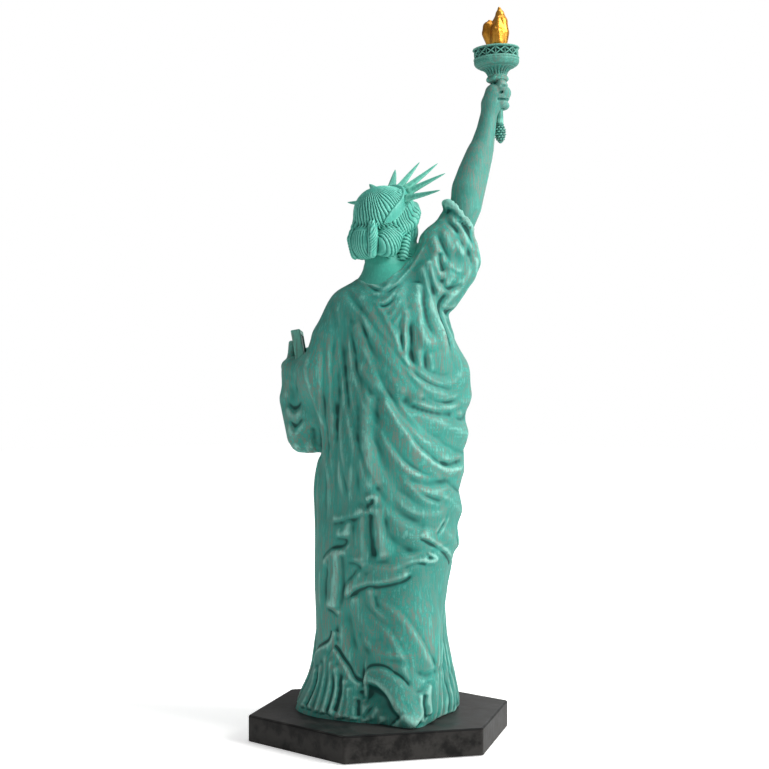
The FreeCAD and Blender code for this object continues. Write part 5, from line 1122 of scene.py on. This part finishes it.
def finial_mesh():
    """pine-cone knob under the handle"""
    prof=fine([(0.0,0),(0.15,0.5),(0.8,1.05),(2.0,1.75),(3.6,2.2),(5.4,2.25),(6.6,1.95),(7.3,1.65),(7.7,1.75),(8.05,1.8),(8.05,0)],0.14)
    def mod(i,s,r,th):
        s0=s[0]
        if 0.7<s0<7.0 and r[0]>0.9:
            row=s0/1.05; k=int(row); v=row-k
            x=(th*8/(2*np.pi)+0.5*(k%2))%1.0
            bump=(1-(2*x-1)**2)*(1-(2*v-1)**2)
            r=r+0.62*(bump-0.35)
        return s,r
    return lathe(prof,192,mod)
# ---------------------------------------------------------------- rays of the diadem
def rays_mesh():
    tau=math.radians(44.3); fan=math.radians(81.2)
    HR=np.array([-1.,0,0]); CD=np.array([0,-math.cos(tau),math.sin(tau)]); CN=np.cross(HR,CD); CN=CN if CN[2]>0 else -CN
    V=[];F=[];off=0
    for k in range(7):
        ph=-fan+k*2*fan/6
        v=math.sin(ph)*HR+math.cos(ph)*CD; w=np.cross(CN,v)
        r0=9.6-1.5*math.cos(ph)**2+0.7
        m=26; nb=12
        rings=[]
        for i in range(m):
            t=i/(m-1)
            d=r0+(27.0-r0)*t
            a=2.6*(1-t)**0.70+0.16; b=1.55*(1-t)**0.75+0.14
            bend=0.35*math.sin(t*math.pi)*(1 if k%2 else -1)*0.4
            ring=[]
            for j in range(nb):
                q=2*math.pi*j/nb
                # diamond section with slightly rounded edges
                c_,s_=math.cos(q),math.sin(q)
                rho=1/(abs(c_)+abs(s_))*0.86+0.14
                if t<0.12: rho*=1.0+0.12*math.sin(t/0.12*math.pi)
                ring.append(CC+v*d+w*(a*rho*c_)+CN*(b*rho*s_+bend))
            rings.append(ring)
        pts=np.array(rings).reshape(-1,3)
        tip=CC+v*27.2; root=CC+v*(r0-0.3)
        V.append(pts); V.append(np.array([tip,root]))
        n0=off
        for i in range(m-1):
            for j in range(nb):
                j1=(j+1)%nb
                F.append((n0+i*nb+j,n0+i*nb+j1,n0+(i+1)*nb+j1,n0+(i+1)*nb+j))
        T_=n0+m*nb; R_=T_+1
        for j in range(nb):
            j1=(j+1)%nb
            F.append((n0+(m-1)*nb+j,n0+(m-1)*nb+j1,T_,T_)); F.append((n0+j1,n0+j,R_,R_))
        off+=m*nb+2
    V=np.concatenate(V); F=np.array(F)
    N=vnormals(V,F)
    # turn outward if needed
    c=np.zeros_like(V); 
    vol=0.0
    for t in ((0,1,2),(0,2,3)):
        a,b,c_=V[F[:,t[0]]],V[F[:,t[1]]],V[F[:,t[2]]]
        vol+=(a*np.cross(b,c_)).sum()
    if vol<0: F=F[:,::-1]
    return V,F

# ================================================================= the scene
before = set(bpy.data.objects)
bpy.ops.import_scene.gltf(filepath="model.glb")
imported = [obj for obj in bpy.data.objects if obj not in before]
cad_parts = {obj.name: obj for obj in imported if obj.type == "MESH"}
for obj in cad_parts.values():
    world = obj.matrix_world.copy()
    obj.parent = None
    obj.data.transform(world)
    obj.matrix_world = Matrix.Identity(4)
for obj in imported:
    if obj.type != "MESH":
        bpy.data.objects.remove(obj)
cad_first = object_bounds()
MM = 0.001

def new_mesh(name, V, F, attrs=None, smooth=True):
    """quad (or quad with a repeated corner for a triangle) soup to a Blender mesh, in metres"""
    V = np.asarray(V, float) * MM
    F = np.asarray(F, np.int64)
    tri = (F[:, 2] == F[:, 3]) if F.shape[1] == 4 else np.ones(len(F), bool)
    cnt = np.where(tri, 3, 4)
    start = np.concatenate([[0], np.cumsum(cnt)[:-1]])
    loops = np.empty(int(cnt.sum()), np.int32)
    for k in range(3): loops[start + k] = F[:, k]
    q = ~tri
    loops[start[q] + 3] = F[q, 3]
    me = bpy.data.meshes.new(name)
    me.vertices.add(len(V)); me.vertices.foreach_set("co", V.astype(np.float32).ravel())
    me.loops.add(len(loops)); me.loops.foreach_set("vertex_index", loops)
    me.polygons.add(len(F)); me.polygons.foreach_set("loop_start", start.astype(np.int32))
    me.update(calc_edges=True)
    me.polygons.foreach_set("use_smooth", np.full(len(F), bool(smooth)))
    for k, v in (attrs or {}).items():
        a = me.attributes.new(k, "FLOAT", "POINT"); a.data.foreach_set("value", np.asarray(v, np.float32))
    me.validate()
    ob = bpy.data.objects.new(name, me)
    bpy.context.scene.collection.objects.link(ob)
    return ob

def paint_attrs(V, F, T, E, seed, scale=1.0):
    """how far each point stands out of (or sinks into) its surroundings, which the materials turn into painted
    highlight and painted shade, and brush streaks along the flow
    """
    n = len(V); N = vnormals(V, F)
    b1 = blur(V, E, 7, n, 0.6); f1 = ((V - b1) * N).sum(1)
    b2 = blur(b1, E, 34, n, 0.62); f2 = ((V - b2) * N).sum(1)
    s = streaks(V, N, T, E, n, seed)
    f1 = f1 / (0.16 * scale); f2 = f2 / (0.55 * scale)
    return {"fine": np.clip(f1, -1, 1), "broad": np.clip(f2, -1, 1), "streak": np.clip(s / 3 + 0.5, 0, 1)}

# ----------------------------------------------------------------- materials
def lin(c):
    c = np.array(c, float) / 255
    return tuple(np.where(c <= 0.04045, c / 12.92, ((c + 0.055) / 1.055) ** 2.4)) + (1.0,)

class Mat:
    def __init__(s, name):
        m = bpy.data.materials.new(name); m.use_nodes = True
        s.m = m; s.t = m.node_tree; s.t.nodes.clear()
        s.out = s.t.nodes.new("ShaderNodeOutputMaterial")
        s.b = s.t.nodes.new("ShaderNodeBsdfPrincipled")
        s.t.links.new(s.b.outputs[0], s.out.inputs[0])
    def n(s, kind, **kw):
        x = s.t.nodes.new(kind)
        for k, v in kw.items():
            if k.startswith("in_"):
                x.inputs[k[3:].replace("_", " ")].default_value = v
            else: setattr(x, k, v)
        return x
    def l(s, a, b): s.t.links.new(a, b)
    def math(s, op, a, b=None, clamp=False):
        x = s.t.nodes.new("ShaderNodeMath"); x.operation = op; x.use_clamp = clamp
        for i, v in enumerate((a, b)):
            if v is None: continue
            if isinstance(v, (int, float)): x.inputs[i].default_value = v
            else: s.l(v, x.inputs[i])
        return x.outputs[0]
    def attr(s, name):
        x = s.n("ShaderNodeAttribute"); x.attribute_name = name; return x.outputs["Fac"]
    def ramp(s, fac, lo, hi, a=0.0, b=1.0, smooth=True):
        x = s.t.nodes.new("ShaderNodeMapRange"); x.interpolation_type = "SMOOTHSTEP" if smooth else "LINEAR"
        s.l(fac, x.inputs[0]); x.inputs[1].default_value = lo; x.inputs[2].default_value = hi
        x.inputs[3].default_value = a; x.inputs[4].default_value = b
        return x.outputs[0]
    def mix(s, fac, a, b):
        x = s.t.nodes.new("ShaderNodeMix"); x.data_type = "RGBA"
        if isinstance(fac, (int, float)): x.inputs[0].default_value = fac
        else: s.l(fac, x.inputs[0])
        for i, v in ((6, a), (7, b)):
            if isinstance(v, tuple): x.inputs[i].default_value = v
            else: s.l(v, x.inputs[i])
        return x.outputs[2]
    def noise(s, scale, detail=3.0, rough=0.55, vec=None, stretch=None):
        x = s.t.nodes.new("ShaderNodeTexNoise"); x.inputs["Scale"].default_value = scale
        x.inputs["Detail"].default_value = detail; x.inputs["Roughness"].default_value = rough
        tc = s.t.nodes.new("ShaderNodeTexCoord")
        mp = s.t.nodes.new("ShaderNodeMapping"); s.l(tc.outputs["Object"], mp.inputs[0])
        mp.inputs["Location"].default_value = (0.371, 0.137, 0.229)
        if stretch: mp.inputs["Scale"].default_value = stretch
        s.l(mp.outputs[0], x.inputs["Vector"])
        return x.outputs["Fac"]

def verdigris(name, mid=(42, 147, 134), light=(136, 202, 189), deep=(2, 70, 64), grey=(126, 125, 117), grey_amt=1.0, streak_attr=True, seed=0.0, rough=0.58, cad=False):
    k = Mat(name)
    big = k.noise(42, 3, 0.6); med = k.noise(190, 4, 0.6); tiny = k.noise(1500, 3, 0.6)
    scr = k.noise(3200, 3, 0.7)
    if cad:
        # on these parts the crest and hollow measure for the painted highlight and painted shade comes from pointiness
        geo = k.n("ShaderNodeNewGeometry"); pt = geo.outputs["Pointiness"]
        fine = k.ramp(pt, 0.44, 0.56, -1.0, 1.0, False); broad = fine
        st = k.noise(900, 4, 0.65, stretch=(1.0, 1.0, 0.12))
        streak = k.ramp(st, 0.30, 0.70)
    else:
        fine, broad = k.attr("fine"), k.attr("broad")
        st = k.noise(1100, 4, 0.65, stretch=(1.0, 1.0, 0.10))
        streak = k.math("ADD", k.math("MULTIPLY", k.attr("streak"), 0.34), k.math("MULTIPLY", k.ramp(st, 0.28, 0.72), 0.66))
    # painted highlight, partly real: crests and broad raised forms go towards the light teal, partly the dry-brushed
    # paint, partly painted highlight
    hi = k.math("ADD", k.math("MULTIPLY", k.ramp(fine, 0.10, 0.85), 0.66), k.math("MULTIPLY", k.ramp(broad, 0.05, 0.95), 0.38), True)
    # painted shade, partly real: hollows go towards the deep teal, partly the darker paint lying in them, partly
    # painted shade
    lo = k.math("ADD", k.math("MULTIPLY", k.ramp(fine, -0.08, -0.85), 0.74), k.math("MULTIPLY", k.ramp(broad, -0.05, -0.95), 0.50), True)
    # the washes of paint differ slightly from place to place
    base = k.mix(k.ramp(big, 0.32, 0.68), lin(tuple(int(v * 0.93) for v in mid)), lin(tuple(min(255, int(v * 1.05)) for v in mid)))
    base = k.mix(k.math("MULTIPLY", k.ramp(med, 0.35, 0.7), 0.35), base, lin((mid[0] + 14, mid[1] + 6, mid[2] + 8)))
    # crests towards the light teal: dry-brushed paint and painted highlight
    col = k.mix(hi, base, lin(light))
    # dry brush: grey dragged over what stands proud
    patch = k.ramp(big, 0.36, 0.62, 0.45, 1.0)
    stk = k.math("MULTIPLY", k.ramp(streak, 0.36, 0.74), k.ramp(scr, 0.36, 0.60, 0.22, 1.0))
    g = k.math("MULTIPLY", k.math("MULTIPLY", stk, patch), k.ramp(broad, -0.6, 0.25, 0.25, 1.0))
    g = k.math("MULTIPLY", g, grey_amt, True)
    col = k.mix(g, col, lin(grey))
    lg = k.math("MULTIPLY", k.ramp(streak, 0.44, 0.16), 0.50)
    col = k.mix(k.math("MULTIPLY", lg, k.ramp(broad, -0.3, 0.5)), col, lin(light))
    # hollows towards the deep teal: darker paint and painted shade
    col = k.mix(lo, col, lin(deep))
    speck = k.ramp(tiny, 0.62, 0.75, 0.0, 0.25)
    col = k.mix(speck, col, lin(tuple(int(v * 0.72) for v in mid)))
    k.l(col, k.b.inputs["Base Color"])
    r = k.math("ADD", k.ramp(med, 0.3, 0.7, -0.07, 0.07), k.math("ADD", k.math("MULTIPLY", g, 0.16), rough))
    k.l(r, k.b.inputs["Roughness"])
    k.b.inputs["Specular IOR Level"].default_value = 0.35
    bump = k.n("ShaderNodeBump"); bump.inputs["Strength"].default_value = 0.35; bump.inputs["Distance"].default_value = 0.00012
    hsum = k.math("ADD", k.math("MULTIPLY", tiny, 0.6), k.math("MULTIPLY", streak, 0.9))
    k.l(hsum, bump.inputs["Height"]); k.l(bump.outputs[0], k.b.inputs["Normal"])
    return k.m

def plinth_black(name, base=(4, 5, 6), upper_face_grey=(38, 39, 41)):
    k = Mat(name)
    geo = k.n("ShaderNodeNewGeometry"); pt = geo.outputs["Pointiness"]
    nrm = k.n("ShaderNodeSeparateXYZ"); k.l(geo.outputs["Normal"], nrm.inputs[0])
    big = k.noise(30, 4, 0.6); med = k.noise(140, 5, 0.62); tiny = k.noise(1100, 3, 0.6); grain = k.noise(260, 4, 0.6, stretch=(0.25, 1.0, 1.0))
    up = k.ramp(nrm.outputs["Z"], 0.6, 0.95)
    c = k.mix(k.ramp(med, 0.3, 0.75), lin(base), lin(tuple(v + 7 for v in base)))
    # lighter grey patches on the upward-facing surfaces
    upper_face_patches = k.math("MULTIPLY", up, k.ramp(k.math("ADD", k.math("MULTIPLY", big, 0.6), k.math("MULTIPLY", grain, 0.5)), 0.42, 0.68, 0.15, 0.75))
    k.b.inputs["Specular IOR Level"].default_value = 0.10
    c = k.mix(upper_face_patches, c, lin(upper_face_grey))
    edge = k.math("MULTIPLY", k.ramp(pt, 0.505, 0.56), k.ramp(med, 0.35, 0.6, 0.25, 1.0))
    c = k.mix(k.math("MULTIPLY", edge, 0.55, True), c, lin((74, 72, 70)))
    c = k.mix(k.ramp(tiny, 0.66, 0.78, 0.0, 0.35), c, lin((70, 66, 62)))
    k.l(c, k.b.inputs["Base Color"])
    k.l(k.ramp(med, 0.25, 0.75, 0.36, 0.55), k.b.inputs["Roughness"])
    bump = k.n("ShaderNodeBump"); bump.inputs["Strength"].default_value = 0.25; bump.inputs["Distance"].default_value = 0.0001
    k.l(k.math("ADD", tiny, k.math("MULTIPLY", med, 0.7)), bump.inputs["Height"]); k.l(bump.outputs[0], k.b.inputs["Normal"])
    return k.m

def gilt(name):
    k = Mat(name)
    big = k.noise(160, 3, 0.6); tiny = k.noise(1300, 4, 0.6)
    fine, broad = k.attr("fine"), k.attr("broad")
    c = k.mix(k.ramp(big, 0.3, 0.7), lin((190, 126, 38)), lin((224, 164, 68)))
    # painted shade: the hollows of the flame go towards dark brown
    c = k.mix(k.math("MULTIPLY", k.ramp(fine, -0.1, -0.8), 0.8), c, lin((104, 62, 18)))
    # painted highlight: the crests of the flame go towards pale gold
    c = k.mix(k.math("MULTIPLY", k.ramp(fine, 0.15, 0.9), 0.6), c, lin((255, 216, 132)))
    k.l(c, k.b.inputs["Base Color"]); k.b.inputs["Metallic"].default_value = 0.88
    k.l(k.ramp(tiny, 0.3, 0.7, 0.26, 0.44), k.b.inputs["Roughness"])
    bump = k.n("ShaderNodeBump"); bump.inputs["Strength"].default_value = 0.3; bump.inputs["Distance"].default_value = 0.0001
    k.l(k.math("ADD", tiny, big), bump.inputs["Height"]); k.l(bump.outputs[0], k.b.inputs["Normal"])
    return k.m

def steel(name, col=(150, 152, 156), rough=0.32):
    k = Mat(name)
    med = k.noise(400, 4, 0.6); brushed = k.noise(2400, 3, 0.6, stretch=(1, 1, 0.05))
    c = k.mix(k.ramp(med, 0.3, 0.7), lin(col), lin(tuple(int(v * 0.8) for v in col)))
    k.l(c, k.b.inputs["Base Color"]); k.b.inputs["Metallic"].default_value = 1.0
    k.l(k.ramp(brushed, 0.3, 0.7, rough - 0.08, rough + 0.12), k.b.inputs["Roughness"])
    bump = k.n("ShaderNodeBump"); bump.inputs["Strength"].default_value = 0.2; bump.inputs["Distance"].default_value = 0.00005
    k.l(brushed, bump.inputs["Height"]); k.l(bump.outputs[0], k.b.inputs["Normal"])
    return k.m

def felt(name):
    k = Mat(name)
    fib = k.noise(1800, 6, 0.75); med = k.noise(300, 4, 0.6)
    c = k.mix(k.ramp(fib, 0.3, 0.7), lin((20, 21, 22)), lin((42, 43, 45)))
    c = k.mix(k.ramp(med, 0.4, 0.7, 0.0, 0.4), c, lin((30, 31, 32)))
    k.l(c, k.b.inputs["Base Color"]); k.l(k.ramp(fib, 0.3, 0.7, 0.88, 1.0), k.b.inputs["Roughness"])
    k.b.inputs["Sheen Weight"].default_value = 0.4
    bump = k.n("ShaderNodeBump"); bump.inputs["Strength"].default_value = 0.8; bump.inputs["Distance"].default_value = 0.0003
    k.l(fib, bump.inputs["Height"]); k.l(bump.outputs[0], k.b.inputs["Normal"])
    return k.m

M_robe = verdigris("verdigris_robe")
M_arm = verdigris("verdigris_arm", mid=(60, 148, 135), light=(132, 192, 179), grey=(142, 134, 128), grey_amt=1.0)
M_head = verdigris("verdigris_head", mid=(66, 168, 150), light=(118, 206, 188), deep=(14, 88, 78), grey=(96, 140, 130), grey_amt=0.25, rough=0.5)
M_crown = verdigris("verdigris_crown", mid=(66, 172, 150), light=(120, 212, 190), deep=(14, 88, 78), grey=(84, 140, 128), grey_amt=0.35, rough=0.5, cad=True)
M_cad = verdigris("verdigris_parts", mid=(52, 140, 126), light=(122, 196, 180), deep=(18, 80, 72), cad=True)
M_tab = verdigris("verdigris_tablet", mid=(58, 128, 114), light=(104, 176, 160), deep=(14, 70, 62), grey=(104, 116, 110), cad=True)
M_torch = verdigris("verdigris_torch", mid=(42, 128, 115), light=(112, 184, 168), deep=(4, 52, 47), grey=(112, 116, 110), grey_amt=0.8)
M_plinth = plinth_black("plinth_black_paint")
M_gilt = gilt("gilt_paint")
M_screw = steel("screw_steel_bright")
M_dowel = steel("dowel_steel_dull", (120, 122, 126), 0.42)
M_felt = felt("felt_black")

def put(ob, mat, slot, *nodes):
    ob.data.materials.append(mat)
    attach(ob, "root")
    if nodes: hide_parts(*nodes)
    return ob

# ----------------------------------------------------------------- pieces
W, F, D, T, E, _r = robe_mesh(0.9)
A = paint_attrs(W, F, T, E, 11, 1.0)
put(new_mesh("robe", W, F, A), M_robe, "verdigris_resin", "robe_casting")

W, F, D, T, E, band = head_mesh(0.46)
A = paint_attrs(W, F, T, E, 12, 0.55)
put(new_mesh("head", W, F, A), M_head, "verdigris_bright", "head_casting")
V2, F2 = band; E2 = csr(F2, len(V2))
A = paint_attrs(V2, F2, np.tile([0, 0.7, 0.7], (len(V2), 1)), E2, 18, 0.6)
put(new_mesh("diadem_band", V2, F2, A), M_head, "verdigris_bright", "diadem")

W, F, D, T, E = arm_mesh(0.42)
A = paint_attrs(W, F, T, E, 13, 0.7)
put(new_mesh("right_arm", W, F, A), M_arm, "verdigris_resin", "right_arm_casting")

W, F, D, T, E = lhand_mesh(0.5)
A = paint_attrs(W, F, T, E, 14, 0.7)
put(new_mesh("left_hand", W, F, A), M_arm, "verdigris_resin", "left_hand_casting")

W, F, D, T, E = flame_mesh(0.36)
A = paint_attrs(W, F, T, E, 15, 0.6)
put(new_mesh("flame_gilt", W, F, A), M_gilt, "gilt", "flame")

for nm, fn, node, seed in (("torch_bowl", cup_mesh, "torch_cup", 16), ("torch_gallery", gallery_mesh, "gallery_ring", 17), ("torch_knob", finial_mesh, "torch_finial", 19)):
    V, F = fn(); E = csr(F, len(V))
    A = paint_attrs(V, F, np.tile([0, 0, 1.0], (len(V), 1)), E, seed, 0.5)
    put(new_mesh(nm, V, F, A), M_torch, "verdigris_resin", node)
V, F = rays_mesh()
ob = put(new_mesh("diadem_rays", V, F, None), M_crown, "verdigris_bright", "crown_rays")

for node, mat in (("plinth", M_plinth), ("felt_pad", M_felt), ("base_screws", M_screw), ("torch_handle", M_cad),
                  ("tablet", M_tab), ("neck_dowel", M_dowel), ("arm_rod", M_dowel), ("hand_pin", M_dowel), ("tablet_pin", M_dowel)):
    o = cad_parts.get(node)
    if o is None: continue
    o.data.materials.clear(); o.data.materials.append(mat)
for node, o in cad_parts.items():
    if node not in ("plinth", "felt_pad", "base_screws", "torch_handle", "torch_finial", "tablet", "diadem", "neck_dowel", "arm_rod", "hand_pin", "tablet_pin") and not o.hide_render:
        o.data.materials.clear(); o.data.materials.append(M_dowel if ("dowel" in node or "pin" in node or "rod" in node) else M_cad)

# ----------------------------------------------------------------- floor, light, camera
def floor_piece():
    """a pale sheet under the object"""
    xs = np.linspace(-3.0, 3.0, 41)
    X, Y = np.meshgrid(xs, xs, indexing="ij")
    V = np.stack([X.ravel(), Y.ravel(), np.full(X.size, -0.00002)], 1) / MM
    m = len(xs); I, J = np.meshgrid(np.arange(m - 1), np.arange(m - 1), indexing="ij"); I, J = I.ravel(), J.ravel()
    F = np.stack([I * m + J, (I + 1) * m + J, (I + 1) * m + J + 1, I * m + J + 1], 1)
    ob = new_mesh("floor_sheet", V, F)
    k = Mat("floor_white")
    nz = k.noise(6, 3, 0.5)
    k.l(k.mix(k.ramp(nz, 0.3, 0.7), lin((240, 240, 239)), lin((246, 246, 246))), k.b.inputs["Base Color"])
    k.b.inputs["Roughness"].default_value = 0.85
    k.b.inputs["Specular IOR Level"].default_value = 0.2
    k.b.inputs["Emission Color"].default_value = (1, 1, 1, 1)
    # the far part of the sheet burns out to white, the near part keeps the contact shadow
    gp = k.n("ShaderNodeNewGeometry"); ln = k.n("ShaderNodeVectorMath"); ln.operation = "LENGTH"; k.l(gp.outputs["Position"], ln.inputs[0])
    far = k.ramp(ln.outputs["Value"], 0.12, 0.55, 0.50, 1.0)
    lpn = k.n("ShaderNodeLightPath")
    em = k.math("ADD", 0.16, k.math("MULTIPLY", lpn.outputs["Is Camera Ray"], k.math("SUBTRACT", far, 0.16)))
    k.l(em, k.b.inputs["Emission Strength"])
    ob.data.materials.append(k.m)
    ob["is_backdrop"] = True
    return ob
floor_piece()

def area(name, loc, target, size, power, color=(1, 1, 1)):
    li = bpy.data.lights.new(name, "AREA"); li.shape = "RECTANGLE"; li.size = size[0]; li.size_y = size[1]
    li.energy = power; li.color = color
    ob = bpy.data.objects.new(name, li); bpy.context.scene.collection.objects.link(ob)
    ob.location = loc
    d = Vector(target) - Vector(loc)
    ob.rotation_euler = d.to_track_quat("-Z", "Y").to_euler()
    ob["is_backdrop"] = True
    return ob
from mathutils import Vector
def at(u, t, z): return tuple(CAM_RIGHT * u + CAM_FWD * t + np.array([0, 0, z]))
area("key", at(0.85, -0.42, 0.72), at(0, 0, 0.15), (0.5, 0.5), 13.0, (1.0, 0.985, 0.965))
area("fill", at(-0.95, -0.6, 0.45), at(0, 0, 0.15), (0.9, 0.9), 0.9, (0.96, 0.98, 1.0))
area("top", at(0.25, 0.05, 1.15), at(0, 0, 0.1), (0.7, 0.7), 4.0)
area("back", at(0.5, 0.9, 0.6), at(0, 0, 0.2), (1.0, 0.8), 3.0)
world = bpy.data.worlds.new("studio"); bpy.context.scene.world = world
world.use_nodes = True
bg = world.node_tree.nodes.get("Background") or world.node_tree.nodes.new("ShaderNodeBackground")
bg.inputs[0].default_value = (1, 1, 1, 1)
wt = world.node_tree
lp = wt.nodes.new("ShaderNodeLightPath"); mr = wt.nodes.new("ShaderNodeMapRange")
wt.links.new(lp.outputs["Is Camera Ray"], mr.inputs[0])
mr.inputs[3].default_value = 0.22; mr.inputs[4].default_value = 1.0
wt.links.new(mr.outputs[0], bg.inputs[1])

cam_data = bpy.data.cameras.new("photo_camera")
cam_data.sensor_width = 36.0; cam_data.sensor_fit = "HORIZONTAL"; cam_data.lens = 36.0 * CAM_F / 769.0
cam_data.clip_start = 0.01; cam_data.clip_end = 20
cam = bpy.data.objects.new("photo_camera", cam_data); bpy.context.scene.collection.objects.link(cam)
pos = (CAM_RIGHT * CAM_XO - CAM_FWD * CAM_D + np.array([0, 0, CAM_H])) * MM
cam.location = tuple(pos)
pt = math.radians(CAM_PITCH)
d = Vector(tuple(CAM_FWD * math.cos(pt) + np.array([0, 0, math.sin(pt)])))
cam.rotation_euler = d.to_track_quat("-Z", "Y").to_euler()
cam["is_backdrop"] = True
bpy.context.scene.camera = cam
bpy.context.scene.view_settings.view_transform = "Standard"
bpy.context.scene.view_settings.look = "None"

def plain(b):
    if isinstance(b, dict): return {k: plain(v) for k, v in b.items()}
    if isinstance(b, (str, bool, int, float)) or b is None: return b
    if hasattr(b, "__len__"): return [plain(v) for v in b]
    return float(b)
{"cad": plain(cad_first), "scene": plain(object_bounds())}
